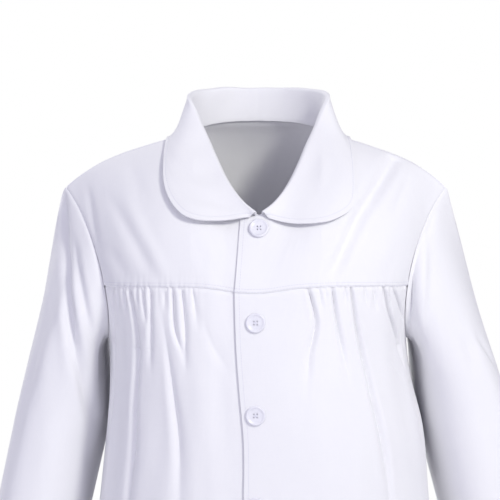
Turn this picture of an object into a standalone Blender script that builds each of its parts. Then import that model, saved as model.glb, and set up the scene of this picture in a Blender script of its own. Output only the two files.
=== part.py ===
"""Nurse uniform dress as worn: round collar, front yokes, gathered fronts, set-in sleeves, buttons.

Units are metres. +Z is up, the front of the dress faces -Y and the wearer's left is at +X.
The origin is the middle of the neck opening, level with the side neck points.
"""
import itertools
import math

import bpy
import numpy as np
from mathutils import Vector
from mathutils.bvhtree import BVHTree

# Cloth and seams
CLOTH = 0.0015
COLLAR_CLOTH = 0.0018
SEAM_INSET = 0.00027
PIECE_GAP = 0.0003
SEAM_SNAP = 0.00001
MITRE_LIMIT = 0.75
NECK_SHIFT = 0.003

# Sampling of the body rings, and how far below the yoke seam the landing direction is read
RUN_SAMPLES = 721
LANDING_DROP = 0.02
FAR_IN_FRONT = -1.0

# Lap of the front edges: the wearer's left front lies over the right one
LAP_EDGE = 0.0215
LAP_EDGE_TOP = 0.0155
UNDER_EDGE = 0.020
LAP_SINK = 0.0026
LAP_SINK_FROM = 0.048
LAP_SINK_FULL = 0.027
LAP_TOP_FALL = -0.0018

# Levels
YOKE_LEVEL = -0.155
UNDERARM_LEVEL = -0.215
ARMHOLE_DROP = YOKE_LEVEL - UNDERARM_LEVEL
EVEN_LEVEL = -0.430
HEM_LEVEL = -0.980

# Armhole: depths in front of and behind the side line at the yoke level
ARMHOLE_FRONT_Y = -0.060
ARMHOLE_BACK_Y = 0.052
ARMHOLE_FRONT_STEPS = (0.0, 5.0, 14.0, 30.0, 50.0, 70.0, 90.0)
ARMHOLE_BACK_STEPS = (0.0, 18.0, 36.0, 54.0, 72.0, 90.0)

# Body rings: how far the cloth stands from the middle at each level
TORSO_RINGS = (
    dict(level=-0.980, half_width=0.240, front=0.172, back=0.168, centre=0.004),
    dict(level=-0.800, half_width=0.222, front=0.160, back=0.152, centre=0.005),
    dict(level=-0.600, half_width=0.199, front=0.149, back=0.134, centre=0.007),
    dict(level=-0.480, half_width=0.184, front=0.143, back=0.120, centre=0.008),
    dict(level=-0.380, half_width=0.171, front=0.141, back=0.110, centre=0.009),
    dict(level=-0.300, half_width=0.163, front=0.140, back=0.107, centre=0.009),
    dict(level=-0.255, half_width=0.156, front=0.138, back=0.108, centre=0.005),
    dict(level=-0.215, half_width=0.154, front=0.134, back=0.109, centre=0.002),
    dict(level=-0.155, half_width=0.167, front=0.126, back=0.106, centre=0.000),
)
FRONT_SQUARENESS = 2.4
BACK_SQUARENESS = 2.2

# Yoke seam height along the front, by distance from the middle
YOKE_SEAM = (
    dict(x=-0.155, level=-0.1550),
    dict(x=-0.100, level=-0.1520),
    dict(x=-0.045, level=-0.1525),
    dict(x=-0.022, level=-0.1560),
    dict(x=0.000, level=-0.1570),
    dict(x=0.045, level=-0.1520),
    dict(x=0.100, level=-0.1515),
    dict(x=0.155, level=-0.1550),
)

# Shoulder seam from the side neck point to the sleeve
SHOULDER = (
    dict(x=0.065, y=-0.004, z=-0.001),
    dict(x=0.094, y=-0.008, z=-0.0085),
    dict(x=0.120, y=-0.008, z=-0.0165),
    dict(x=0.141, y=-0.008, z=-0.0235),
    dict(x=0.162, y=-0.007, z=-0.0325),
    dict(x=0.177, y=-0.005, z=-0.0415),
    dict(x=0.189, y=-0.002, z=-0.0505),
    dict(x=0.198, y=0.000, z=-0.0585),
)

# Neck seam from the side neck point to the middle front and to the middle back
NECK_FRONT = (
    dict(x=0.065, y=-0.004, z=-0.001),
    dict(x=0.062, y=-0.010, z=-0.008),
    dict(x=0.057, y=-0.021, z=-0.019),
    dict(x=0.0505, y=-0.034, z=-0.0315),
    dict(x=0.0435, y=-0.0485, z=-0.0435),
    dict(x=0.036, y=-0.062, z=-0.0545),
    dict(x=0.027, y=-0.0745, z=-0.0650),
    dict(x=0.015, y=-0.085, z=-0.0745),
    dict(x=0.000, y=-0.0915, z=-0.0810),
)
NECK_BACK = (
    dict(x=0.065, y=-0.004, z=-0.001),
    dict(x=0.0625, y=0.018, z=0.003),
    dict(x=0.053, y=0.037, z=0.006),
    dict(x=0.037, y=0.0515, z=0.0085),
    dict(x=0.019, y=0.060, z=0.0097),
    dict(x=0.000, y=0.063, z=0.010),
)

# How the front and back cloth leave the shoulder and neck: slope down in degrees, pull against the chord
FRONT_LEAVE = (
    dict(at=0.00, slope=40.0, pull=0.80),
    dict(at=0.20, slope=33.0, pull=0.90),
    dict(at=0.50, slope=24.0, pull=1.02),
    dict(at=1.00, slope=22.0, pull=1.02),
    dict(at=1.50, slope=44.0, pull=0.95),
    dict(at=2.00, slope=66.0, pull=0.90),
)
BACK_LEAVE = (
    dict(at=0.00, slope=36.0, pull=0.80),
    dict(at=0.20, slope=12.0, pull=0.90),
    dict(at=0.50, slope=-6.0, pull=0.95),
    dict(at=1.00, slope=2.0, pull=0.95),
    dict(at=1.50, slope=23.0, pull=0.95),
    dict(at=2.00, slope=37.0, pull=0.95),
)
TIP_DRAW = 0.45
YOKE_BESIDE_NECK = 0.066
BACK_BESIDE_NECK = 0.064
BACK_ARM_REACH = 0.18
LAND_PULL = 0.82

# Mesh steps
SHOULDER_STEPS = 6
NECK_FRONT_STEPS = 8
NECK_BACK_STEPS = 4
LAP_STEPS = 3
YOKE_ROWS = (0.0, 0.05, 0.12, 0.20, 0.30, 0.40, 0.51, 0.63, 0.76, 0.89, 1.0)
BACK_UPPER_ROWS = (0.0, 0.06, 0.14, 0.24, 0.36, 0.50, 0.66, 0.83, 1.0)
LOWER_LEVELS = (-0.235, -0.260, -0.290, -0.325, -0.370, -0.430, -0.510, -0.610, -0.730, -0.860, -0.980)
SEAM_BLEND_LEVEL = -0.185

# Columns of a lower front: plain ones by the lap, then closer ones through the gathers
PLAIN_COLUMNS = 7
GATHERED_FROM = 0.26
GATHERED_TO = 0.97
GATHERED_COLUMNS = 30
SPREAD_FROM = 0.60

# Gathers and folds of the lower fronts. top and low are distances from the middle front along the cloth,
# start and end are levels, width is half the trough, depth is how far it sinks.
FOLDS_LEFT = (
    dict(top=0.055, low=0.060, start=-0.152, end=-0.330, width=0.0065, depth=0.0032),
    dict(top=0.068, low=0.074, start=-0.152, end=-0.215, width=0.0055, depth=0.0022),
    dict(top=0.079, low=0.092, start=-0.152, end=-0.270, width=0.0065, depth=0.0035),
    dict(top=0.092, low=0.106, start=-0.152, end=-0.205, width=0.0055, depth=0.0024),
    dict(top=0.103, low=0.150, start=-0.152, end=-0.460, width=0.0070, depth=0.0049),
    dict(top=0.118, low=0.132, start=-0.152, end=-0.230, width=0.0055, depth=0.0027),
    dict(top=0.132, low=0.168, start=-0.152, end=-0.300, width=0.0065, depth=0.0041),
    dict(top=0.147, low=0.184, start=-0.152, end=-0.250, width=0.0060, depth=0.0035),
    dict(top=0.161, low=0.206, start=-0.154, end=-0.228, width=0.0060, depth=0.0018),
    dict(top=0.080, low=0.105, start=-0.330, end=-1.050, width=0.0240, depth=0.0110),
    dict(top=0.150, low=0.205, start=-0.360, end=-1.050, width=0.0260, depth=0.0120),
)
FOLDS_RIGHT = (
    dict(top=0.054, low=0.056, start=-0.152, end=-0.210, width=0.0055, depth=0.0022),
    dict(top=0.067, low=0.070, start=-0.152, end=-0.240, width=0.0060, depth=0.0027),
    dict(top=0.080, low=0.083, start=-0.152, end=-0.262, width=0.0065, depth=0.0035),
    dict(top=0.092, low=0.096, start=-0.152, end=-0.205, width=0.0055, depth=0.0024),
    dict(top=0.104, low=0.112, start=-0.152, end=-0.430, width=0.0070, depth=0.0046),
    dict(top=0.118, low=0.126, start=-0.152, end=-0.230, width=0.0055, depth=0.0027),
    dict(top=0.131, low=0.146, start=-0.152, end=-0.340, width=0.0065, depth=0.0041),
    dict(top=0.146, low=0.166, start=-0.152, end=-0.245, width=0.0060, depth=0.0035),
    dict(top=0.161, low=0.206, start=-0.154, end=-0.225, width=0.0060, depth=0.0016),
    dict(top=0.074, low=0.098, start=-0.330, end=-1.050, width=0.0240, depth=0.0105),
    dict(top=0.144, low=0.198, start=-0.350, end=-1.050, width=0.0260, depth=0.0125),
)
# Folds of the back, top and low measured from the middle back
FOLDS_BACK = (
    dict(top=-0.090, low=-0.190, start=-0.120, end=-1.050, width=0.0300, depth=0.0110),
    dict(top=-0.020, low=-0.075, start=-0.200, end=-1.050, width=0.0300, depth=0.0100),
    dict(top=0.035, low=0.050, start=-0.160, end=-1.050, width=0.0300, depth=0.0115),
    dict(top=0.105, low=0.175, start=-0.130, end=-1.050, width=0.0300, depth=0.0105),
)
# How a fold starts, widens and ends: shares of its length, and the depth that parts short from long ones
FOLD_ONSET = 0.014
FOLD_ONSET_MOST = 0.3
LONG_FOLD_ONSET = 0.6
LONG_FOLD_DEPTH = 0.006
FOLD_FADES_FROM = 0.55
FOLD_WIDENING = 0.7
FOLD_FLANK = 1.6
SOFT_FLANK = 1.2
# The lap and the side edge stay free of folds
FREE_BY_LAP = 0.022
FOLDS_FROM = 0.045
FREE_BY_SIDE = 0.965

# Soft drag folds of the yokes, in x and z: from one place to another
YOKE_FOLDS_LEFT = (
    dict(x0=0.152, z0=-0.052, x1=0.078, z1=-0.138, width=0.012, depth=0.0022),
    dict(x0=0.104, z0=-0.098, x1=0.060, z1=-0.146, width=0.010, depth=0.0012),
)
YOKE_FOLDS_RIGHT = (
    dict(x0=-0.150, z0=-0.074, x1=-0.104, z1=-0.140, width=0.012, depth=0.0024),
    dict(x0=-0.160, z0=-0.056, x1=-0.150, z1=-0.120, width=0.009, depth=0.0014),
)

# Sleeves. Rings below the sleeve head, by level: centre, half width across and half depth fore and aft
SLEEVE_LEFT = (
    dict(level=-0.300, x=0.2190, y=0.022, across=0.0450, deep=0.0740),
    dict(level=-0.360, x=0.2345, y=0.020, across=0.0445, deep=0.0730),
    dict(level=-0.430, x=0.2510, y=0.014, across=0.0430, deep=0.0680),
    dict(level=-0.500, x=0.2640, y=0.003, across=0.0410, deep=0.0610),
    dict(level=-0.565, x=0.2730, y=-0.011, across=0.0385, deep=0.0550),
    dict(level=-0.622, x=0.2780, y=-0.025, across=0.0370, deep=0.0510),
)
SLEEVE_RIGHT = (
    dict(level=-0.300, x=-0.2030, y=0.022, across=0.0445, deep=0.0740),
    dict(level=-0.360, x=-0.2160, y=0.020, across=0.0440, deep=0.0730),
    dict(level=-0.430, x=-0.2300, y=0.014, across=0.0430, deep=0.0680),
    dict(level=-0.500, x=-0.2420, y=0.003, across=0.0410, deep=0.0610),
    dict(level=-0.565, x=-0.2510, y=-0.011, across=0.0385, deep=0.0550),
    dict(level=-0.622, x=-0.2560, y=-0.025, across=0.0370, deep=0.0510),
)
SLEEVE_TURN = 14.0
SLEEVE_SQUARENESS = 2.5
SLEEVE_ROWS = (0.0, 0.035, 0.09, 0.16, 0.25, 0.36, 0.48, 0.61, 0.74, 0.87, 1.0)
# How the sleeve leaves the armhole, by share of the way from the underarm to the shoulder tip:
# outward, forward (or backward) and downward pull in metres, and the pull where it lands
SLEEVE_LEAVE = (
    dict(at=0.00, outward=0.042, fore=0.000, down=-0.012, land=0.070),
    dict(at=0.20, outward=0.048, fore=0.010, down=0.008, land=0.110),
    dict(at=0.45, outward=0.062, fore=0.020, down=0.050, land=0.150),
    dict(at=0.75, outward=0.060, fore=0.026, down=0.080, land=0.200),
    dict(at=1.00, outward=0.028, fore=0.000, down=0.100, land=0.240),
)
# Sleeve creases: place around (degrees, 0 at the body, 90 in front, 180 outside) and along (0 to 1)
SLEEVE_FOLDS_LEFT = (
    dict(turn0=66.0, turn1=50.0, along0=0.10, along1=0.62, width=9.0, depth=0.0026),
    dict(turn0=150.0, turn1=95.0, along0=0.05, along1=1.00, width=12.0, depth=0.0020),
    dict(turn0=230.0, turn1=260.0, along0=0.08, along1=1.00, width=13.0, depth=0.0026),
    dict(turn0=300.0, turn1=320.0, along0=0.15, along1=0.80, width=11.0, depth=0.0022),
)
SLEEVE_FOLDS_RIGHT = (
    dict(turn0=146.0, turn1=92.0, along0=0.04, along1=1.10, width=11.0, depth=0.0034),
    dict(turn0=60.0, turn1=54.0, along0=0.12, along1=0.70, width=9.0, depth=0.0022),
    dict(turn0=232.0, turn1=262.0, along0=0.08, along1=1.00, width=13.0, depth=0.0026),
    dict(turn0=300.0, turn1=318.0, along0=0.15, along1=0.80, width=11.0, depth=0.0022),
)

# Collar: half of it from the middle front to the middle back, x measured from the middle of the neck.
# neck is where the stand is sewn, fold is the top of the roll and edge the outer edge of the fall.
COLLAR = (
    dict(neck=(0.0030, -0.0905, -0.0800), fold=(0.0050, -0.0970, -0.0782),
         edge=(0.0110, -0.0990, -0.0815), roll=0.0016),
    dict(neck=(0.0110, -0.0872, -0.0765), fold=(0.0125, -0.0922, -0.0727),
         edge=(0.0190, -0.1010, -0.0832), roll=0.0018),
    dict(neck=(0.0200, -0.0812, -0.0710), fold=(0.0205, -0.0842, -0.0642),
         edge=(0.0310, -0.1020, -0.0865), roll=0.0021),
    dict(neck=(0.0285, -0.0730, -0.0635), fold=(0.0285, -0.0732, -0.0537),
         edge=(0.0470, -0.1010, -0.0905), roll=0.0025),
    dict(neck=(0.0360, -0.0620, -0.0545), fold=(0.0365, -0.0604, -0.0408),
         edge=(0.0650, -0.0960, -0.0920), roll=0.0028),
    dict(neck=(0.0435, -0.0485, -0.0435), fold=(0.0435, -0.0465, -0.0269),
         edge=(0.0810, -0.0880, -0.0875), roll=0.0030),
    dict(neck=(0.0505, -0.0340, -0.0315), fold=(0.0505, -0.0325, -0.0120),
         edge=(0.0920, -0.0760, -0.0740), roll=0.0030),
    dict(neck=(0.0570, -0.0210, -0.0190), fold=(0.0575, -0.0205, 0.0020),
         edge=(0.0945, -0.0600, -0.0580), roll=0.0030),
    dict(neck=(0.0620, -0.0100, -0.0080), fold=(0.0645, -0.0095, 0.0175),
         edge=(0.0940, -0.0380, -0.0370), roll=0.0030),
    dict(neck=(0.0650, -0.0010, -0.0010), fold=(0.0720, 0.0030, 0.0330),
         edge=(0.0930, -0.0140, -0.0170), roll=0.0030),
    dict(neck=(0.0640, 0.0130, 0.0020), fold=(0.0710, 0.0200, 0.0390),
         edge=(0.0920, 0.0120, -0.0060), roll=0.0030),
    dict(neck=(0.0580, 0.0290, 0.0048), fold=(0.0620, 0.0380, 0.0415),
         edge=(0.0880, 0.0400, -0.0055), roll=0.0030),
    dict(neck=(0.0450, 0.0452, 0.0074), fold=(0.0480, 0.0530, 0.0425),
         edge=(0.0700, 0.0620, -0.0095), roll=0.0030),
    dict(neck=(0.0290, 0.0562, 0.0092), fold=(0.0310, 0.0635, 0.0430),
         edge=(0.0460, 0.0760, -0.0135), roll=0.0030),
    dict(neck=(0.0140, 0.0614, 0.0098), fold=(0.0150, 0.0680, 0.0430),
         edge=(0.0220, 0.0830, -0.0155), roll=0.0030),
    dict(neck=(0.0000, 0.0630, 0.0100), fold=(0.0000, 0.0695, 0.0430),
         edge=(0.0000, 0.0845, -0.0160), roll=0.0030),
)
COLLAR_STATIONS = 23
STAND_CLEARANCE = 0.0015
STAND_GAP = 0.0007
STAND_LIFT = 0.5
STAND_PASSES = 16
COLLAR_LIFT = 0.0006
CLEARING_PASSES = 6
FACE_SHARES = (0.0, 0.25, 0.5, 0.75, 1.0)
STAND_STEPS = 3
ROLL_STEPS = 4
FALL_STEPS = 6
FALL_START_PULL = 0.45
FALL_STAND_SHARE = 0.75
FALL_END_PULL = 0.42

# Buttons
BUTTON_FIRST = -0.0945
BUTTON_SPACING = 0.0915
BUTTON_COUNT = 8
BUTTON_X_FIRST = 0.0030
BUTTON_X = -0.0005
BUTTON_RADIUS = 0.0100
BUTTON_SIDES = 18
SEAT_SAMPLES = 8
BUTTON_PROFILE = (
    dict(radius=0.93, height=0.0000),
    dict(radius=1.00, height=0.0010),
    dict(radius=0.94, height=0.0024),
    dict(radius=0.80, height=0.0024),
    dict(radius=0.70, height=0.0017),
)


def rows_of(table, key):
    """One named column of a table as an array."""
    return np.array([row[key] for row in table], dtype=float)


def smooth(places, values, at):
    """A smooth curve through the values given at rising places, read at any number of places."""
    places = np.asarray(places, dtype=float)
    values = np.asarray(values, dtype=float)
    at = np.clip(np.asarray(at, dtype=float), places[0], places[-1])
    slopes = np.gradient(values, places)
    index = np.clip(np.searchsorted(places, at, side="right") - 1, 0, len(places) - 2)
    span = places[index + 1] - places[index]
    t = (at - places[index]) / span
    start = (1 + 2 * t) * (1 - t) ** 2 * values[index] + t * (1 - t) ** 2 * span * slopes[index]
    finish = t ** 2 * (3 - 2 * t) * values[index + 1] + t ** 2 * (t - 1) * span * slopes[index + 1]
    return start + finish


def ease(low, high, value):
    """0 below low, 1 above high, with a soft change between them."""
    t = np.clip((np.asarray(value, dtype=float) - low) / (high - low), 0.0, 1.0)
    return t * t * (3 - 2 * t)


def unit(vectors):
    """Vectors scaled to length one."""
    vectors = np.asarray(vectors, dtype=float)
    return vectors / np.maximum(np.linalg.norm(vectors, axis=-1, keepdims=True), 1e-12)


def torso_points(level, angles):
    """Cloth around the body at one level: 0 degrees is the wearer's left, 90 front, 180 right, 270 back."""
    levels = rows_of(TORSO_RINGS, "level")
    half_width = smooth(levels, rows_of(TORSO_RINGS, "half_width"), level)
    front = smooth(levels, rows_of(TORSO_RINGS, "front"), level)
    back = smooth(levels, rows_of(TORSO_RINGS, "back"), level)
    centre = smooth(levels, rows_of(TORSO_RINGS, "centre"), level)
    turn = np.radians(np.asarray(angles, dtype=float))
    in_front = np.sin(turn) >= 0
    power = np.where(in_front, 2 / FRONT_SQUARENESS, 2 / BACK_SQUARENESS)
    x = centre + half_width * np.sign(np.cos(turn)) * np.abs(np.cos(turn)) ** power
    y = np.where(in_front, -front, back) * np.abs(np.sin(turn)) ** power
    return np.stack([x, y, np.full_like(x, level)], axis=-1)


def torso_run(level, first, last):
    """Points around the body between two angles, with the length walked from the first."""
    angles = np.linspace(first, last, RUN_SAMPLES)
    points = torso_points(level, angles)
    steps = np.linalg.norm(np.diff(points, axis=0), axis=1)
    return points, np.concatenate([[0.0], np.cumsum(steps)])


def torso_at(level, distances, middle):
    """Points at distances along the cloth from the middle front (90) or back (270)."""
    points, walked = torso_run(level, middle - 90.0, middle + 90.0)
    sign = -1.0 if middle < 180.0 else 1.0
    offset = sign * (walked - walked[RUN_SAMPLES // 2])
    order = np.argsort(offset)
    columns = [np.interp(distances, offset[order], points[order, axis]) for axis in range(3)]
    return np.stack(columns, axis=-1)


def distance_at(level, side, depth, middle):
    """Length along the cloth from the middle to the place on one side where y is depth."""
    points, walked = torso_run(level, middle - 90.0, middle + 90.0)
    sign = -1.0 if middle < 180.0 else 1.0
    offset = sign * (walked - walked[RUN_SAMPLES // 2])
    chosen = offset * side >= 0
    depths = points[chosen, 1] if middle < 180.0 else -points[chosen, 1]
    target = depth if middle < 180.0 else -depth
    order = np.argsort(depths)
    return float(np.interp(target, depths[order], offset[chosen][order]))


def seam_level(x):
    """Height of the yoke seam at x."""
    return smooth(rows_of(YOKE_SEAM, "x"), rows_of(YOKE_SEAM, "level"), x)


def set_back(points, side):
    """The under layer moved straight back beneath the lap; the upper layer stays."""
    moved = points.copy()
    if side < 0:
        moved[..., 1] += LAP_SINK * ease(-LAP_SINK_FROM, -LAP_SINK_FULL, points[..., 0])
    return moved


def fold_height(folds, distances, level):
    """Height of the cloth over its smooth form from all folds, at distances along one level."""
    height = np.zeros_like(distances)
    for fold in folds:
        share = (fold["start"] - level) / (fold["start"] - fold["end"])
        if share <= 0 or share >= 1:
            continue
        length = fold["start"] - fold["end"]
        short = fold["depth"] < LONG_FOLD_DEPTH
        onset = min(FOLD_ONSET / length, FOLD_ONSET_MOST) if short else LONG_FOLD_ONSET
        strength = float(ease(0.0, onset, share))
        if fold["end"] > HEM_LEVEL:
            strength *= float(1 - ease(FOLD_FADES_FROM, 1.0, share))
        middle = fold["top"] + (fold["low"] - fold["top"]) * share
        width = fold["width"] * (1 + FOLD_WIDENING * share)
        q = (distances - middle) / width
        height -= fold["depth"] * strength * (1 - FOLD_FLANK * q ** 2) * np.exp(-q ** 2)
    return height


def line_folds(folds, points):
    """Height from soft folds that run between two places seen from the front."""
    height = np.zeros(points.shape[:-1])
    for fold in folds:
        start = np.array([fold["x0"], fold["z0"]])
        along = np.array([fold["x1"], fold["z1"]]) - start
        length = np.linalg.norm(along)
        along = along / length
        flat = points[..., (0, 2)] - start
        share = (flat @ along) / length
        across = flat @ np.array([along[1], -along[0]])
        strength = ease(-0.05, 0.30, share) * (1 - ease(0.65, 1.10, share))
        q = across / fold["width"]
        height -= fold["depth"] * strength * (1 - SOFT_FLANK * q ** 2) * np.exp(-q ** 2)
    return height


def grid_normals(points, closed=False):
    """Directions square to a grid of points."""
    if closed:
        across = np.roll(points, -1, axis=1) - np.roll(points, 1, axis=1)
    else:
        across = np.gradient(points, axis=1)
    down = np.gradient(points, axis=0)
    return unit(np.cross(across, down))


def turned_out(points, normals, centre):
    """The same directions, turned away from a centre line given by x and y."""
    away = points - np.array([centre[0], centre[1], 0.0])
    away[..., 2] = 0.0
    if np.sum(away * normals) < 0:
        return -normals
    return normals


def raised(points, height, centre):
    """A grid moved along its own directions by a height at each point."""
    normals = turned_out(points, grid_normals(points), centre)
    return points + normals * height[..., None]


def hermite(start, leave, finish, land, t):
    """Curve from start to finish with the given pulls, at t from 0 to 1."""
    t = t[:, None]
    first = (1 + 2 * t) * (1 - t) ** 2 * start + t * (1 - t) ** 2 * leave
    second = t ** 2 * (3 - 2 * t) * finish + t ** 2 * (t - 1) * land
    return first + second


def path_points(table, count, side):
    """Points spaced evenly along a table of x, y, z rows, for one side of the dress."""
    rows = np.stack([rows_of(table, key) for key in ("x", "y", "z")], axis=-1)
    walked = np.concatenate([[0.0], np.cumsum(np.linalg.norm(np.diff(rows, axis=0), axis=1))])
    at = np.linspace(0.0, walked[-1], count + 1)
    points = np.stack([smooth(walked, rows[:, axis], at) for axis in range(3)], axis=-1)
    points[:, 0] *= side
    return points


def shoulder_points(side):
    """Shoulder seam from the sleeve to the side neck point."""
    points = path_points(SHOULDER, SHOULDER_STEPS, side)[::-1]
    points[:, 0] += NECK_SHIFT * np.linspace(0.0, 1.0, SHOULDER_STEPS + 1)
    return points


def column_curves(top, bottom, lands, table, at, forward, rows):
    """Cloth between a top line and a bottom line, leaving the top as the table says."""
    slope = np.radians(smooth(rows_of(table, "at"), rows_of(table, "slope"), at))
    pull = smooth(rows_of(table, "at"), rows_of(table, "pull"), at)
    grid = np.zeros((len(rows), len(top), 3))
    for index in range(len(top)):
        chord = bottom[index] - top[index]
        length = np.linalg.norm(chord) * pull[index]
        leave = length * np.array([0.0, forward * math.cos(slope[index]), -math.sin(slope[index])])
        leave[0] = chord[0] * (1 + TIP_DRAW * (1 - min(at[index], 1.0)))
        land = lands[index] * np.linalg.norm(chord) * LAND_PULL
        grid[:, index] = hermite(top[index], leave, bottom[index], land, np.asarray(rows))
    return grid


def seam_points(side, distances):
    """Yoke seam points of one side at distances from the middle front, plus toward the side."""
    points = torso_at(YOKE_LEVEL, side * distances, 90.0)
    for index, point in enumerate(points):
        level = float(seam_level(point[0]))
        points[index] = torso_at(level, [side * distances[index]], 90.0)[0]
    return points


def armhole_distance(side, level, step, front):
    """Where the armhole edge lies along the cloth at one of its levels."""
    depth = (ARMHOLE_FRONT_Y if front else ARMHOLE_BACK_Y) * math.cos(math.radians(step))
    middle = 90.0 if front else 270.0
    return side * distance_at(level, side, depth, middle)


def lap_distance(side):
    """How far past the middle front the cloth of one side goes."""
    return -LAP_EDGE if side > 0 else -UNDER_EDGE


def yoke_base(side):
    """Front yoke of one side without its lap, from the shoulder and neck down to the yoke seam."""
    shoulder = shoulder_points(side)
    neck = path_points(NECK_FRONT, NECK_FRONT_STEPS, side)
    neck[:, 0] += NECK_SHIFT
    top = np.concatenate([shoulder, neck[1:]])
    arm = armhole_distance(side, YOKE_LEVEL, 0.0, True)
    distances = np.concatenate([
        np.linspace(arm, YOKE_BESIDE_NECK, SHOULDER_STEPS + 1),
        np.linspace(YOKE_BESIDE_NECK, side * NECK_SHIFT, NECK_FRONT_STEPS + 1)[1:],
    ])
    bottom = seam_points(side, distances)
    level = torso_at(YOKE_LEVEL, side * distances, 90.0)
    below = torso_at(YOKE_LEVEL - LANDING_DROP, side * distances, 90.0) - level
    at = np.concatenate([
        np.linspace(0.0, 1.0, SHOULDER_STEPS + 1),
        np.linspace(1.0, 2.0, NECK_FRONT_STEPS + 1)[1:],
    ])
    return column_curves(top, bottom, unit(below), FRONT_LEAVE, at, -1.0, YOKE_ROWS)


def sheet_tree(grid):
    """Search tree over one grid of points."""
    rows, columns = grid.shape[:2]
    points = [Vector(point) for point in grid.reshape(-1, 3)]
    faces = []
    for row in range(rows - 1):
        for column in range(columns - 1):
            a = row * columns + column
            faces.append([a, a + 1, a + columns + 1])
            faces.append([a, a + columns + 1, a + columns])
    return BVHTree.FromPolygons(points, faces)


def yoke_grid(side):
    """Front yoke of one side with its lap, which follows the cloth of the other side past the middle."""
    base = yoke_base(side)
    other = sheet_tree(yoke_base(-side))
    middle = base[:, -1]
    reach = LAP_EDGE_TOP if side > 0 else UNDER_EDGE
    distances = np.linspace(side * NECK_SHIFT, lap_distance(side), LAP_STEPS + 1)[1:]
    bottom = seam_points(side, distances)
    lap = np.zeros((len(YOKE_ROWS), LAP_STEPS, 3))
    for step in range(LAP_STEPS):
        share = (step + 1) / LAP_STEPS
        top_x = middle[0, 0] * (1 - share) - side * reach * share
        top_z = middle[0, 2] + LAP_TOP_FALL * share
        lap[-1, step] = bottom[step]
        for row, t in enumerate(YOKE_ROWS[:-1]):
            drop = (middle[row, 2] - middle[0, 2]) / (middle[-1, 2] - middle[0, 2])
            x = top_x + (bottom[step, 0] - top_x) * t
            z = top_z + (bottom[step, 2] - top_z) * drop
            spot, _, _, _ = other.ray_cast(Vector((x, FAR_IN_FRONT, z)), Vector((0.0, 1.0, 0.0)))
            lap[row, step] = (x, spot[1], z)
    grid = np.concatenate([base, lap], axis=1)
    folds = YOKE_FOLDS_LEFT if side > 0 else YOKE_FOLDS_RIGHT
    height = line_folds(folds, grid)
    height[0] = 0.0
    height[-1] = 0.0
    height[:, 0] = 0.0
    return set_back(raised(grid, height, (0.0, 0.0)), side)


def front_grid(side):
    """Gathered lower front of one side, from the yoke seam to the hem."""
    plain = np.linspace(0.0, GATHERED_FROM, PLAIN_COLUMNS)
    shares = np.concatenate([plain, np.linspace(GATHERED_FROM, GATHERED_TO, GATHERED_COLUMNS)[1:], [1.0]])
    lap = lap_distance(side)
    grid = []
    heights = []
    folds = FOLDS_LEFT if side > 0 else FOLDS_RIGHT
    levels = [YOKE_LEVEL - ARMHOLE_DROP * math.sin(math.radians(step)) for step in ARMHOLE_FRONT_STEPS]
    edges = [armhole_distance(side, level, step, True) for level, step in zip(levels, ARMHOLE_FRONT_STEPS)]
    for level in LOWER_LEVELS:
        levels.append(level)
        edges.append(armhole_distance(side, level, 90.0, True))
    for number, (level, edge) in enumerate(zip(levels, edges)):
        growth = edge - edges[0]
        even = float(ease(-UNDERARM_LEVEL, -EVEN_LEVEL, -level))
        spread = even * shares + (1 - even) * ease(SPREAD_FROM, 1.0, shares)
        distances = lap + (edges[0] - lap) * shares + growth * spread
        if number == 0:
            row = seam_points(side, distances)
        else:
            row = torso_at(level, side * distances, 90.0)
            blend = float(1 - ease(-YOKE_LEVEL, -SEAM_BLEND_LEVEL, -level))
            row[:, 2] += blend * (seam_level(row[:, 0]) - YOKE_LEVEL)
        height = fold_height(folds, distances, level)
        height *= ease(FREE_BY_LAP, FOLDS_FROM, distances) * (1 - ease(FREE_BY_SIDE, 1.0, shares))
        if number == 0:
            height *= 0.0
        grid.append(row)
        heights.append(height)
    grid = np.array(grid)
    return set_back(raised(grid, np.array(heights), (0.0, 0.0)), side)[:, ::-1]


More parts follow.
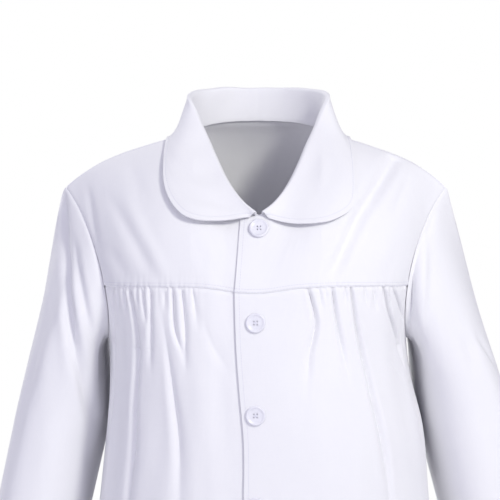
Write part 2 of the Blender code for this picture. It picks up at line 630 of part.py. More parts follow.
def back_grid():
    """Back in one piece, from the shoulders and neck to the hem; columns run from +X to -X."""
    halves = {}
    for side in (1, -1):
        shoulder = shoulder_points(side)
        neck = path_points(NECK_BACK, NECK_BACK_STEPS, side)
        neck[:, 0] += NECK_SHIFT
        halves[side] = np.concatenate([shoulder, neck[1:]])
    top = np.concatenate([halves[1], halves[-1][::-1][1:]])
    share = np.concatenate([
        np.linspace(0.0, 1.0, SHOULDER_STEPS + 1),
        np.linspace(1.0, 2.0, NECK_BACK_STEPS + 1)[1:],
    ])
    at = np.concatenate([share, share[::-1][1:]])
    beside = BACK_BESIDE_NECK / BACK_ARM_REACH

    def spread(edge_left, edge_right):
        left = np.concatenate([
            np.linspace(edge_left, beside * edge_left, SHOULDER_STEPS + 1),
            np.linspace(beside * edge_left, 0.0, NECK_BACK_STEPS + 1)[1:],
        ])
        right = np.concatenate([
            np.linspace(0.0, beside * edge_right, NECK_BACK_STEPS + 1),
            np.linspace(beside * edge_right, edge_right, SHOULDER_STEPS + 1)[1:],
        ])
        return np.concatenate([left, -right[1:]])

    def edges_at(level, step):
        left = armhole_distance(1, level, step, False)
        right = armhole_distance(-1, level, step, False)
        return spread(left, right)

    distances = edges_at(YOKE_LEVEL, 0.0)
    bottom = torso_at(YOKE_LEVEL, distances, 270.0)
    below = torso_at(YOKE_LEVEL - LANDING_DROP, distances, 270.0) - bottom
    upper = column_curves(top, bottom, unit(below), BACK_LEAVE, at, 1.0, BACK_UPPER_ROWS)
    grid = [row for row in upper]
    heights = []
    for row in upper:
        level = float(np.mean(row[:, 2]))
        heights.append(fold_height(FOLDS_BACK, distances, level))
    levels = [YOKE_LEVEL - ARMHOLE_DROP * math.sin(math.radians(step)) for step in ARMHOLE_BACK_STEPS[1:]]
    steps = list(ARMHOLE_BACK_STEPS[1:])
    for level in LOWER_LEVELS:
        levels.append(level)
        steps.append(90.0)
    for level, step in zip(levels, steps):
        distances = edges_at(level, step)
        grid.append(torso_at(level, distances, 270.0))
        heights.append(fold_height(FOLDS_BACK, distances, level))
    grid = np.array(grid)
    heights = np.array(heights)
    heights[:, 0] = 0.0
    heights[:, -1] = 0.0
    heights[0] = 0.0
    return raised(grid, heights, (0.0, 0.0))


def sleeve_grid(side, yoke, front, back):
    """Set-in sleeve of one side; columns run from the underarm forward over the shoulder to the back."""
    arm_rows = len(ARMHOLE_FRONT_STEPS)
    back_column = 0 if side > 0 else -1
    back_rows = len(BACK_UPPER_ROWS) + len(ARMHOLE_BACK_STEPS) - 1
    lower_front = front[:arm_rows, 0][::-1]
    upper_front = yoke[:, 0][::-1]
    behind = back[:back_rows, back_column]
    loop = np.concatenate([lower_front, upper_front[1:], behind[1:-1]])
    tip = len(lower_front) + len(upper_front) - 2
    closed = np.concatenate([loop, loop[:1]])
    walked = np.concatenate([[0.0], np.cumsum(np.linalg.norm(np.diff(closed, axis=0), axis=1))])
    turn = np.where(
        np.arange(len(loop)) <= tip,
        180.0 * walked[:-1] / walked[tip],
        180.0 + 180.0 * (walked[:-1] - walked[tip]) / (walked[-1] - walked[tip]),
    )
    table = SLEEVE_LEFT if side > 0 else SLEEVE_RIGHT
    folds = SLEEVE_FOLDS_LEFT if side > 0 else SLEEVE_FOLDS_RIGHT
    lean = math.radians(SLEEVE_TURN)
    inward = np.array([-side * math.cos(lean), -math.sin(lean), 0.0])
    ahead = np.array([side * math.sin(lean), -math.cos(lean), 0.0])

    def ring(row):
        centre = np.array([row["x"], row["y"], row["level"]])
        around = np.radians(turn)[:, None]
        power = 2 / SLEEVE_SQUARENESS
        across = np.sign(np.cos(around)) * np.abs(np.cos(around)) ** power
        deep = np.sign(np.sin(around)) * np.abs(np.sin(around)) ** power
        return centre + row["across"] * across * inward + row["deep"] * deep * ahead

    first = ring(table[0])
    axis_down = unit(np.array([table[1][key] - table[0][key] for key in ("x", "y", "level")]))
    to_tip = 1 - np.abs(turn - 180.0) / 180.0
    fore_sign = np.where(turn <= 180.0, -1.0, 1.0)
    at = rows_of(SLEEVE_LEAVE, "at")
    outward = smooth(at, rows_of(SLEEVE_LEAVE, "outward"), to_tip)
    fore = smooth(at, rows_of(SLEEVE_LEAVE, "fore"), to_tip)
    down = smooth(at, rows_of(SLEEVE_LEAVE, "down"), to_tip)
    land = smooth(at, rows_of(SLEEVE_LEAVE, "land"), to_tip)
    upper = np.zeros((len(SLEEVE_ROWS), len(loop), 3))
    for index in range(len(loop)):
        leave = np.array([side * outward[index], fore_sign[index] * fore[index], -down[index]])
        arrive = axis_down * land[index]
        upper[:, index] = hermite(loop[index], leave, first[index], arrive, np.asarray(SLEEVE_ROWS))
    grid = np.concatenate([upper, np.array([ring(row) for row in table[1:]])])
    rows = len(grid)
    along = np.linspace(0.0, 1.0, rows)[:, None]
    height = np.zeros((rows, len(loop)))
    for fold in folds:
        share = (along - fold["along0"]) / (fold["along1"] - fold["along0"])
        place = fold["turn0"] + (fold["turn1"] - fold["turn0"]) * share
        away = (turn[None, :] - place + 180.0) % 360.0 - 180.0
        strength = ease(0.0, 0.25, share) * (1 - ease(0.7, 1.0, share))
        q = away / fold["width"]
        height -= fold["depth"] * strength * (1 - SOFT_FLANK * q ** 2) * np.exp(-q ** 2)
    height[0] = 0.0
    normals = turned_out_sleeve(grid)
    return grid + normals * height[..., None]


def turned_out_sleeve(points):
    """Directions square to a tube of points, away from the middle of each ring."""
    normals = grid_normals(points, closed=True)
    away = points - points.mean(axis=1, keepdims=True)
    if np.sum(away * normals) < 0:
        return -normals
    return normals


def seam_key(point):
    """A name for a place, the same for every panel that meets there."""
    return tuple(np.round(point / SEAM_SNAP).astype(int))


def shared_normals(grids, normals):
    """Where panels meet at one point, a direction between body and sleeve, longer at sharp corners."""
    body = {}
    arms = {}
    for name, points in grids.items():
        group = arms if name.startswith("sleeve") else body
        for point, direction in zip(points.reshape(-1, 3), normals[name].reshape(-1, 3)):
            group.setdefault(seam_key(point), []).append(direction)
    result = {}
    for name, points in grids.items():
        directions = normals[name].reshape(-1, 3).copy()
        for index, point in enumerate(points.reshape(-1, 3)):
            key = seam_key(point)
            meeting = [unit(np.sum(group[key], axis=0)) for group in (body, arms) if key in group]
            if len(meeting) == 1:
                directions[index] = meeting[0]
                continue
            average = unit(meeting[0] + meeting[1])
            directions[index] = average / max(float(np.dot(meeting[0], average)), MITRE_LIMIT)
        result[name] = directions.reshape(points.shape)
    return result


def edge_moves(points, normals, edge):
    """Directions from one edge of a grid into the cloth, square to the edge and along the cloth."""
    if edge == "top":
        line, inside, upright = points[0], points[1], normals[0]
    elif edge == "bottom":
        line, inside, upright = points[-1], points[-2], normals[-1]
    elif edge == "first":
        line, inside, upright = points[:, 0], points[:, 1], normals[:, 0]
    else:
        line, inside, upright = points[:, -1], points[:, -2], normals[:, -1]
    into = unit(np.cross(np.gradient(line, axis=0), upright))
    if np.sum(into * (inside - line)) < 0:
        into = -into
    return into


def inset(points, normals, edges):
    """A copy of a grid with the sewn edges drawn back from the seam."""
    moved = points.copy()
    for edge, first, last in edges:
        moves = edge_moves(points, normals, edge) * SEAM_INSET
        chosen = slice(first, last)
        if edge == "top":
            moved[0, chosen] += moves[chosen]
        elif edge == "bottom":
            moved[-1, chosen] += moves[chosen]
        elif edge == "first":
            moved[chosen, 0] += moves[chosen]
        else:
            moved[chosen, -1] += moves[chosen]
    return moved


def cloth_material(name, colour):
    """Matt woven cotton in one colour."""
    material = bpy.data.materials.new(name)
    material.use_nodes = True
    shader = material.node_tree.nodes["Principled BSDF"]
    shader.inputs["Base Color"].default_value = colour
    shader.inputs["Roughness"].default_value = 0.85
    shader.inputs["Metallic"].default_value = 0.0
    return material


def add_object(name, points, faces, material):
    """A named object from points and faces, smooth shaded."""
    mesh = bpy.data.meshes.new(name)
    mesh.from_pydata([tuple(point) for point in points], [], faces)
    mesh.materials.append(material)
    mesh.validate()
    for polygon in mesh.polygons:
        polygon.use_smooth = True
    mesh.update()
    thing = bpy.data.objects.new(name, mesh)
    bpy.context.scene.collection.objects.link(thing)
    return thing


def wall_faces(rows, columns, closed):
    """Faces of a wall: the outer sheet, the inner sheet and the rims round the open edges."""
    outer = np.arange(rows * columns).reshape(rows, columns)
    inner = outer + rows * columns
    faces = []
    wrap = columns if closed else columns - 1
    for row in range(rows - 1):
        for column in range(wrap):
            beside = (column + 1) % columns
            faces.append([outer[row, column], outer[row, beside], outer[row + 1, beside]])
            faces.append([outer[row, column], outer[row + 1, beside], outer[row + 1, column]])
            faces.append([inner[row, column], inner[row + 1, beside], inner[row, beside]])
            faces.append([inner[row, column], inner[row + 1, column], inner[row + 1, beside]])
    for column in range(wrap):
        beside = (column + 1) % columns
        faces.append([outer[0, beside], outer[0, column], inner[0, column], inner[0, beside]])
        faces.append([outer[-1, column], outer[-1, beside], inner[-1, beside], inner[-1, column]])
    if not closed:
        for row in range(rows - 1):
            faces.append([outer[row, 0], outer[row + 1, 0], inner[row + 1, 0], inner[row, 0]])
            faces.append([outer[row + 1, -1], outer[row, -1], inner[row, -1], inner[row + 1, -1]])
    return [[int(index) for index in face] for face in faces]


def signed_volume(points, faces):
    """Volume enclosed by faces, below zero when they face inward."""
    total = 0.0
    for face in faces:
        anchor = points[face[0]]
        for step in range(1, len(face) - 1):
            total += np.dot(anchor, np.cross(points[face[step]], points[face[step + 1]]))
    return total / 6.0


def add_wall(name, points, normals, thickness, material, closed=False):
    """A cloth wall on both sides of a grid of points."""
    rows, columns = points.shape[:2]
    half = 0.5 * thickness
    outer = (points + normals * half).reshape(-1, 3)
    inner = (points - normals * half).reshape(-1, 3)
    body = np.concatenate([outer, inner])
    faces = wall_faces(rows, columns, closed)
    if signed_volume(body, faces) < 0:
        faces = [face[::-1] for face in faces]
    return add_object(name, body, faces, material)


def outer_tree(grids, normals, names):
    """Search tree over the outer faces of some panels, for what lies on them."""
    points = []
    faces = []
    for name in names:
        outside = (grids[name] + normals[name] * 0.5 * CLOTH)
        rows, columns = outside.shape[:2]
        base = len(points)
        points.extend(Vector(point) for point in outside.reshape(-1, 3))
        for row in range(rows - 1):
            for column in range(columns - 1):
                a = base + row * columns + column
                away = Vector(normals[name][row, column])
                for corner in ([a, a + 1, a + columns + 1], [a, a + columns + 1, a + columns]):
                    first = points[corner[1]] - points[corner[0]]
                    second = points[corner[2]] - points[corner[0]]
                    outward = first.cross(second).dot(away) > 0
                    faces.append(corner if outward else corner[::-1])
    return BVHTree.FromPolygons(points, faces)


def collar_section(neck, fold, edge, roll, body):
    """Middle line of the collar cloth at one place: up the stand, over the roll and down the fall."""
    up = unit(fold - neck)
    out = edge - fold
    out = unit(out - np.dot(out, up) * up)
    spot, normal, _, _ = body.find_nearest(Vector(edge))
    normal = np.array(normal)
    edge = np.array(spot) + normal * (COLLAR_LIFT + 0.5 * COLLAR_CLOTH)
    centre = fold - roll * up
    line = []
    stand_top = centre - roll * out
    for step in range(STAND_STEPS):
        line.append(neck + (stand_top - neck) * step / STAND_STEPS)
    for step in range(ROLL_STEPS + 1):
        turn = math.pi * step / ROLL_STEPS
        line.append(centre - roll * math.cos(turn) * out + roll * math.sin(turn) * up)
    start = line[-1]
    reach = np.linalg.norm(edge - start)
    away = edge - fold
    land = unit(away - np.dot(away, normal) * normal)
    first = start - up * min(reach * FALL_START_PULL, np.linalg.norm(fold - neck) * FALL_STAND_SHARE)
    second = edge - land * reach * FALL_END_PULL
    for step in range(1, FALL_STEPS + 1):
        t = step / FALL_STEPS
        near_fold = (1 - t) ** 3 * start + 3 * t * (1 - t) ** 2 * first
        near_edge = 3 * t ** 2 * (1 - t) * second + t ** 3 * edge
        place = near_fold + near_edge
        line.append(place)
    return line


def lifted_clear(grid, body, clearance, first):
    """The grid moved out wherever any place on a face is nearer to the body than the clearance."""
    rows, columns = grid.shape[:2]
    for _ in range(CLEARING_PASSES):
        for row in range(rows - 1):
            for column in range(first, columns - 1):
                corners = [(row, column), (row, column + 1), (row + 1, column), (row + 1, column + 1)]
                for u, v in itertools.product(FACE_SHARES, FACE_SHARES):
                    share = ((1 - u) * (1 - v), (1 - u) * v, u * (1 - v), u * v)
                    place = sum(grid[corner] * weight for corner, weight in zip(corners, share))
                    spot, normal, _, _ = body.find_nearest(Vector(place))
                    height = (Vector(place) - spot).dot(normal)
                    if height < clearance:
                        for corner, weight in zip(corners, share):
                            grid[corner] += np.array(normal) * (clearance - height) * min(1.0, 2 * weight)
    return grid


def raised_stand(grid, body):
    """The foot of the stand moved up wherever its thickness would touch the body cloth."""
    for _ in range(STAND_PASSES):
        normals = grid_normals(grid)[:, 0] * 0.5 * COLLAR_CLOTH
        up = unit(grid[:, 1] - grid[:, 0])
        for row in range(len(grid) - 1):
            for share, side in itertools.product(FACE_SHARES, (-1.0, 0.0, 1.0)):
                foot = grid[row, 0] * (1 - share) + grid[row + 1, 0] * share
                place = foot + side * (normals[row] * (1 - share) + normals[row + 1] * share)
                spot, normal, _, _ = body.find_nearest(Vector(place))
                height = (Vector(place) - spot).dot(normal)
                if height < STAND_GAP:
                    grid[row, 0] += up[row] * (STAND_GAP - height) * STAND_LIFT
                    grid[row + 1, 0] += up[row + 1] * (STAND_GAP - height) * STAND_LIFT
    return grid


def collar_grid(body):
    """Collar as rows from the wearer's left front round the back to the right front."""
    places = np.arange(len(COLLAR), dtype=float)
    at = np.linspace(0.0, len(COLLAR) - 1.0, COLLAR_STATIONS)
    half = {}
    for key in ("neck", "fold", "edge"):
        rows = np.array([row[key] for row in COLLAR])
        half[key] = np.stack([smooth(places, rows[:, axis], at) for axis in range(3)], axis=-1)
    roll = smooth(places, rows_of(COLLAR, "roll"), at)
    grid = []
    clearance = COLLAR_LIFT + 0.5 * COLLAR_CLOTH
    for side in (1, -1):
        order = range(COLLAR_STATIONS) if side > 0 else range(COLLAR_STATIONS - 2, -1, -1)
        for index in order:
            neck, fold, edge = (half[key][index].copy() for key in ("neck", "fold", "edge"))
            for point in (neck, fold, edge):
                point[0] = point[0] * side + NECK_SHIFT
            spot, normal, _, _ = body.find_nearest(Vector(neck))
            neck = np.array(spot) + np.array(normal) * STAND_CLEARANCE
            grid.append(collar_section(neck, fold, edge, roll[index], body))
    fall = STAND_STEPS + ROLL_STEPS
    return raised_stand(lifted_clear(np.array(grid), body, clearance, fall), body)


def button_profile_points():
    """Rings of a turned button with a raised rim, from its back to its dished face."""
    rings = []
    for row in BUTTON_PROFILE:
        turn = np.arange(BUTTON_SIDES) * 2 * math.pi / BUTTON_SIDES
        radius = BUTTON_RADIUS * row["radius"]
        height = np.full(BUTTON_SIDES, row["height"])
        rings.append(np.stack([radius * np.cos(turn), radius * np.sin(turn), height], axis=-1))
    return np.array(rings)


def add_button(name, x, z, body, material):
    """A button seated on the lap at x and z."""
    spots = []
    turns = np.linspace(0, 2 * math.pi, SEAT_SAMPLES, endpoint=False)
    samples = [(0.0, 0.0)] + [(math.cos(turn), math.sin(turn)) for turn in turns]
    for across, up in samples:
        start = Vector((x + BUTTON_RADIUS * across, FAR_IN_FRONT, z + BUTTON_RADIUS * up))
        spot, normal, _, _ = body.ray_cast(start, Vector((0.0, 1.0, 0.0)))
        spots.append(np.array(spot))
    spots = np.array(spots)
    middle = spots.mean(axis=0)
    _, _, axes = np.linalg.svd(spots - middle)
    outward = axes[2] if axes[2][1] < 0 else -axes[2]
    right = unit(np.cross(np.array([0.0, 0.0, 1.0]), outward))
    up = np.cross(outward, right)
    lift = float(np.max((spots - middle) @ outward)) + PIECE_GAP
    base = middle + outward * lift
    rings = button_profile_points()
    placed = base + rings[..., :1] * right + rings[..., 1:2] * up + rings[..., 2:] * outward
    count = BUTTON_SIDES
    points = placed.reshape(-1, 3)
    faces = []
    for ring in range(len(rings) - 1):
        for side in range(count):
            beside = (side + 1) % count
            a = ring * count
            faces.append([a + side, a + beside, a + count + beside, a + count + side])
    last = (len(rings) - 1) * count
    faces.append(list(range(count))[::-1])
    faces.append([last + side for side in range(count)])
    if signed_volume(points, faces) < 0:
        faces = [face[::-1] for face in faces]
    return add_object(name, points, faces, material)


for old in list(bpy.data.objects):
    bpy.data.objects.remove(old, do_unlink=True)

GRIDS = {
    "yoke_left": yoke_grid(1),
    "yoke_right": yoke_grid(-1),
    "front_left": front_grid(1),
    "front_right": front_grid(-1),
    "back": back_grid(),
}
GRIDS["sleeve_left"] = sleeve_grid(1, GRIDS["yoke_left"], GRIDS["front_left"], GRIDS["back"])
GRIDS["sleeve_right"] = sleeve_grid(-1, GRIDS["yoke_right"], GRIDS["front_right"], GRIDS["back"])

NORMALS = {}
for piece, cloth in GRIDS.items():
    if piece.startswith("sleeve"):
        NORMALS[piece] = turned_out_sleeve(cloth)
    else:
        NORMALS[piece] = turned_out(cloth, grid_normals(cloth), (0.0, 0.0))
OWN_NORMALS = dict(NORMALS)
NORMALS = shared_normals(GRIDS, NORMALS)

# Sewn edges of each panel, as edge name, first and last place along it
SHOULDER_END = SHOULDER_STEPS + 1
ARMHOLE_FRONT_ROWS = len(ARMHOLE_FRONT_STEPS)
BACK_COLUMNS = 2 * (SHOULDER_STEPS + NECK_BACK_STEPS) + 1
SEWN = {
    "yoke_left": (("top", 0, SHOULDER_END), ("first", None, None), ("bottom", None, None)),
    "yoke_right": (("top", 0, SHOULDER_END), ("first", None, None), ("bottom", None, None)),
    "front_left": (("top", None, None), ("first", None, None)),
    "front_right": (("top", None, None), ("first", None, None)),
    "back": (("top", 0, SHOULDER_END), ("top", BACK_COLUMNS - SHOULDER_END, None),
             ("first", None, None), ("last", None, None)),
    "sleeve_left": (("top", None, None),),
    "sleeve_right": (("top", None, None),),
}
PANEL_COLOUR = (0.84, 0.85, 0.91, 1.0)
COLLAR_COLOUR = (0.87, 0.88, 0.93, 1.0)
BUTTON_COLOUR = (0.90, 0.90, 0.93, 1.0)
BUTTON_ROUGHNESS = 0.35
for piece, cloth in GRIDS.items():
    sewn = inset(cloth, OWN_NORMALS[piece], SEWN[piece])
    paint = cloth_material(piece + "_cotton", PANEL_COLOUR)
    add_wall(piece, sewn, NORMALS[piece], CLOTH, paint, closed=piece.startswith("sleeve"))

# Collar, lying on the yokes and the back
BODY = outer_tree(GRIDS, NORMALS, ("yoke_left", "yoke_right", "back"))
COLLAR_POINTS = collar_grid(BODY)
COLLAR_NORMALS = grid_normals(COLLAR_POINTS)
COLLAR_PAINT = cloth_material("collar_cotton", COLLAR_COLOUR)
add_wall("collar", COLLAR_POINTS, COLLAR_NORMALS, COLLAR_CLOTH, COLLAR_PAINT)

# Buttons down the lap that lies on top
LAP = outer_tree(GRIDS, NORMALS, ("yoke_left", "front_left"))
for number in range(BUTTON_COUNT):
    height = BUTTON_FIRST - number * BUTTON_SPACING
    sideways = BUTTON_X_FIRST if number == 0 else BUTTON_X
    plastic = cloth_material("button_%d_plastic" % (number + 1), BUTTON_COLOUR)
    plastic.node_tree.nodes["Principled BSDF"].inputs["Roughness"].default_value = BUTTON_ROUGHNESS
    add_button("button_%d" % (number + 1), sideways, height, LAP, plastic)
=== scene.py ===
"""Nurse uniform dress, worn and hollow, seen from the front at chest height.

Units are metres. +Z is up, the front of the dress faces -Y and the wearer's left is at +X.
"""
import math

import bmesh
import bpy
import numpy as np
from mathutils import Matrix, Vector
from mathutils.bvhtree import BVHTree


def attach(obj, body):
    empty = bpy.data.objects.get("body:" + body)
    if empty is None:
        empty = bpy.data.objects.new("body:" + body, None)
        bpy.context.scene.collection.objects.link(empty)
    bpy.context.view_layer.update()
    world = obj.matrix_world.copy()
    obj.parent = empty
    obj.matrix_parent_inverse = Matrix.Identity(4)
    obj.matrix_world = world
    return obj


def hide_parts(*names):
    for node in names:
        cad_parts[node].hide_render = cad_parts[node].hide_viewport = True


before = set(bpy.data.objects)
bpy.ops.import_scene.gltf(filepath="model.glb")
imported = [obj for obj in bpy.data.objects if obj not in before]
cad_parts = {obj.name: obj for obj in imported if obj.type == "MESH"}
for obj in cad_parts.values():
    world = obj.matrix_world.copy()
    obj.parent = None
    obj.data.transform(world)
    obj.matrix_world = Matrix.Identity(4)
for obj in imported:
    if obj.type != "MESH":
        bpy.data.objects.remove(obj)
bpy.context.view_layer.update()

# Camera. A long lens in front of the chest, looking a little down, as in the photograph.
# The dress is far larger than the view: only the top of it shows.
view_data = bpy.data.cameras.new("camera")
view_data.lens = 189.07
view_data.sensor_width = 36.0
view = bpy.data.objects.new("camera", view_data)
bpy.context.scene.collection.objects.link(view)
view.location = (-0.006, -2.725, 0.10)
view.rotation_euler = (math.radians(90.0 - 4.695), 0.0, 0.0)
bpy.context.scene.camera = view

# Room. A plain pale floor at the height of the wearer's feet and soft studio light.
# The main light is a large soft box up to the right of the camera, so the left of the picture lies in shade.
FLOOR_LEVEL = -1.40
bpy.context.scene.view_settings.view_transform = "Standard"


class Shade:
    """A value or colour inside a material. Sums and products of values add Math nodes."""

    def __init__(self, tree, socket=None):
        self.tree = tree
        self.socket = socket

    def node(self, kind, settings=None, inputs=None, output=0):
        """Any other node: its type, its settings, and the values or links of its sockets."""
        made = self.tree.nodes.new(kind)
        for key, value in (settings or {}).items():
            if key == "stops":
                made.color_ramp.elements[0].position, made.color_ramp.elements[0].color = value[0]
                made.color_ramp.elements[1].position, made.color_ramp.elements[1].color = value[-1]
                for place, colour in value[1:-1]:
                    made.color_ramp.elements.new(place).color = colour
            else:
                setattr(made, key, value)
        for key, value in (inputs or {}).items():
            if isinstance(value, Shade):
                self.tree.links.new(value.socket, made.inputs[key])
            else:
                made.inputs[key].default_value = value
        return Shade(self.tree, made.outputs[output] if len(made.outputs) else None)

    def maths(self, operation, first, second=0.0):
        return self.node("ShaderNodeMath", {"operation": operation}, {0: first, 1: second})

    def __add__(self, other):
        return self.maths("ADD", self, other)

    __radd__ = __add__

    def __mul__(self, other):
        return self.maths("MULTIPLY", self, other)

    __rmul__ = __mul__

    def __sub__(self, other):
        return self.maths("SUBTRACT", self, other)

    def __rsub__(self, other):
        return self.maths("SUBTRACT", other, self)


def soft_light(name, place, aim, size, power, colour):
    """A soft box at place that points at aim."""
    lamp = bpy.data.lights.new(name, "AREA")
    lamp.shape = "RECTANGLE"
    lamp.size, lamp.size_y = size
    lamp.energy = power
    lamp.color = colour
    thing = bpy.data.objects.new(name, lamp)
    bpy.context.scene.collection.objects.link(thing)
    thing.location = place
    thing.rotation_euler = (Vector(aim) - Vector(place)).to_track_quat("-Z", "Y").to_euler()


soft_light("key_light", (1.40, -2.05, 1.32), (0.0, 0.0, -0.15), (0.5, 0.5), 38.0, (1.0, 1.0, 0.905))
soft_light("fill_light", (-1.30, -2.30, -0.30), (0.0, 0.0, -0.25), (1.2, 1.2), 5.0, (0.95, 0.93, 1.0))
soft_light("back_light", (-1.7, 2.1, 1.2), (0.0, 0.0, -0.3), (0.9, 0.9), 40.0, (1.0, 1.0, 0.95))

room = bpy.data.worlds.new("room")
bpy.context.scene.world = room
room.use_nodes = True
room.node_tree.nodes.clear()
air = Shade(room.node_tree)
seen = air.node("ShaderNodeBackground", {}, {"Color": (1.0, 1.0, 1.0, 1.0), "Strength": 1.0})
# The studio is brighter in front of the dress than above and behind it
toward = air.node("ShaderNodeTexCoord", {}, {}, "Generated")
behind = air.node("ShaderNodeSeparateXYZ", {}, {"Vector": toward}, "Y")
felt = air.node("ShaderNodeBackground", {}, {"Color": (0.835, 0.820, 1.0, 1.0), "Strength": 0.515 - behind * 0.33})
to_camera = air.node("ShaderNodeLightPath")
mixed = air.node("ShaderNodeMixShader", {}, {0: to_camera, 1: felt, 2: seen})
air.node("ShaderNodeOutputWorld", {}, {"Surface": mixed})

shape = bmesh.new()
bmesh.ops.create_grid(shape, x_segments=4, y_segments=4, size=4.0)
bmesh.ops.translate(shape, verts=shape.verts, vec=(0.0, 0.0, FLOOR_LEVEL))
floor_mesh = bpy.data.meshes.new("floor")
shape.to_mesh(floor_mesh)
shape.free()
floor = bpy.data.objects.new("floor", floor_mesh)
bpy.context.scene.collection.objects.link(floor)
floor_paint = bpy.data.materials.new("pale_floor")
floor_paint.use_nodes = True
shader = floor_paint.node_tree.nodes["Principled BSDF"]
shader.inputs["Base Color"].default_value = (0.86, 0.86, 0.88, 1.0)
shader.inputs["Roughness"].default_value = 0.8
floor_mesh.materials.append(floor_paint)

# Back. One piece of white cotton and polyester weave, cut from the shoulders to the hem and sewn to the
# yokes, the sleeves and the fronts. It hangs from the shoulder blades in four long soft folds.
CLOTH = 0.0011
YOKE_LEVEL = -0.155
UNDERARM_LEVEL = -0.215
ARMHOLE_DROP = YOKE_LEVEL - UNDERARM_LEVEL
HEM_LEVEL = -0.980
ARMHOLE_FRONT_Y = -0.060
ARMHOLE_BACK_Y = 0.052
NECK_SHIFT = 0.003
LANDING_DROP = 0.02
# Cloth round the body, how far it stands from the middle at each level
BODY_RINGS = (
    dict(level=-0.980, half_width=0.240, front=0.172, back=0.168, centre=0.004),
    dict(level=-0.800, half_width=0.222, front=0.160, back=0.152, centre=0.005),
    dict(level=-0.600, half_width=0.199, front=0.149, back=0.134, centre=0.007),
    dict(level=-0.480, half_width=0.184, front=0.143, back=0.120, centre=0.008),
    dict(level=-0.380, half_width=0.171, front=0.141, back=0.110, centre=0.009),
    dict(level=-0.300, half_width=0.163, front=0.140, back=0.107, centre=0.009),
    dict(level=-0.255, half_width=0.156, front=0.138, back=0.108, centre=0.005),
    dict(level=-0.215, half_width=0.154, front=0.134, back=0.109, centre=0.002),
    dict(level=-0.155, half_width=0.167, front=0.126, back=0.106, centre=0.000),
)
FRONT_SQUARENESS = 2.4
BACK_SQUARENESS = 2.2
# Shoulder seam from the side neck point to the sleeve, and neck seam from there to the middle back
SHOULDER = (
    dict(x=0.065, y=-0.004, z=-0.001),
    dict(x=0.094, y=-0.008, z=-0.0085),
    dict(x=0.120, y=-0.008, z=-0.0165),
    dict(x=0.141, y=-0.008, z=-0.0235),
    dict(x=0.162, y=-0.007, z=-0.0325),
    dict(x=0.177, y=-0.005, z=-0.0415),
    dict(x=0.189, y=-0.002, z=-0.0505),
    dict(x=0.198, y=0.000, z=-0.0585),
)
NECK_BACK = (
    dict(x=0.065, y=-0.004, z=-0.001),
    dict(x=0.0625, y=0.018, z=0.003),
    dict(x=0.053, y=0.037, z=0.006),
    dict(x=0.037, y=0.0515, z=0.0085),
    dict(x=0.019, y=0.060, z=0.0097),
    dict(x=0.000, y=0.063, z=0.010),
)
# How the cloth leaves the shoulder and neck: slope down in degrees, and pull against the straight way
BACK_LEAVE = (
    dict(at=0.00, slope=36.0, pull=0.80),
    dict(at=0.20, slope=12.0, pull=0.90),
    dict(at=0.50, slope=-6.0, pull=0.95),
    dict(at=1.00, slope=2.0, pull=0.95),
    dict(at=1.50, slope=23.0, pull=0.95),
    dict(at=2.00, slope=37.0, pull=0.95),
)
TIP_DRAW = 0.45
LAND_PULL = 0.82
BACK_BESIDE_NECK = 0.064
BACK_ARM_REACH = 0.18
# Long folds of the back: where they run, measured from the middle back, and their size
BACK_FOLDS = (
    dict(top=-0.090, low=-0.190, start=-0.120, end=-1.050, width=0.0300, depth=0.0110),
    dict(top=-0.020, low=-0.075, start=-0.200, end=-1.050, width=0.0300, depth=0.0100),
    dict(top=0.035, low=0.050, start=-0.160, end=-1.050, width=0.0300, depth=0.0115),
    dict(top=0.105, low=0.175, start=-0.130, end=-1.050, width=0.0300, depth=0.0105),
    dict(top=0.070, low=0.115, start=-0.330, end=-1.050, width=0.0150, depth=0.0030),
    dict(top=-0.055, low=-0.130, start=-0.420, end=-1.050, width=0.0140, depth=0.0026),
)


def column_of(table, key):
    return np.array([row[key] for row in table], dtype=float)


def smooth(places, values, at):
    """A smooth curve through the values given at rising places, read at any number of places."""
    places = np.asarray(places, dtype=float)
    values = np.asarray(values, dtype=float)
    at = np.clip(np.asarray(at, dtype=float), places[0], places[-1])
    slopes = np.gradient(values, places)
    index = np.clip(np.searchsorted(places, at, side="right") - 1, 0, len(places) - 2)
    span = places[index + 1] - places[index]
    t = (at - places[index]) / span
    start = (1 + 2 * t) * (1 - t) ** 2 * values[index] + t * (1 - t) ** 2 * span * slopes[index]
    finish = t ** 2 * (3 - 2 * t) * values[index + 1] + t ** 2 * (t - 1) * span * slopes[index + 1]
    return start + finish


def ease(low, high, value):
    """0 below low, 1 above high, with a soft change between them."""
    t = np.clip((np.asarray(value, dtype=float) - low) / (high - low), 0.0, 1.0)
    return t * t * (3 - 2 * t)


def unit(vectors):
    vectors = np.asarray(vectors, dtype=float)
    return vectors / np.maximum(np.linalg.norm(vectors, axis=-1, keepdims=True), 1e-12)


def walked_length(points, axis=0):
    """Length walked along a line or grid of points from its first."""
    steps = np.linalg.norm(np.diff(points, axis=axis), axis=-1)
    start = np.zeros_like(np.take(steps, [0], axis=axis))
    return np.concatenate([start, np.cumsum(steps, axis=axis)], axis=axis)


def body_run(level, middle):
    """Half the cloth round the body at one level, and its distance from the middle front or back."""
    levels = column_of(BODY_RINGS, "level")
    half_width, front, back, centre = (
        smooth(levels, column_of(BODY_RINGS, key), level) for key in ("half_width", "front", "back", "centre"))
    turn = np.radians(np.linspace(middle - 90.0, middle + 90.0, 1441))
    in_front = middle < 180.0
    power = 2 / (FRONT_SQUARENESS if in_front else BACK_SQUARENESS)
    x = centre + half_width * np.sign(np.cos(turn)) * np.abs(np.cos(turn)) ** power
    y = (-front if in_front else back) * np.abs(np.sin(turn)) ** power
    points = np.stack([x, y, np.full_like(x, level)], axis=-1)
    walked = walked_length(points)
    offset = (walked - walked[720]) * (-1.0 if in_front else 1.0)
    order = np.argsort(offset)
    return points[order], offset[order]


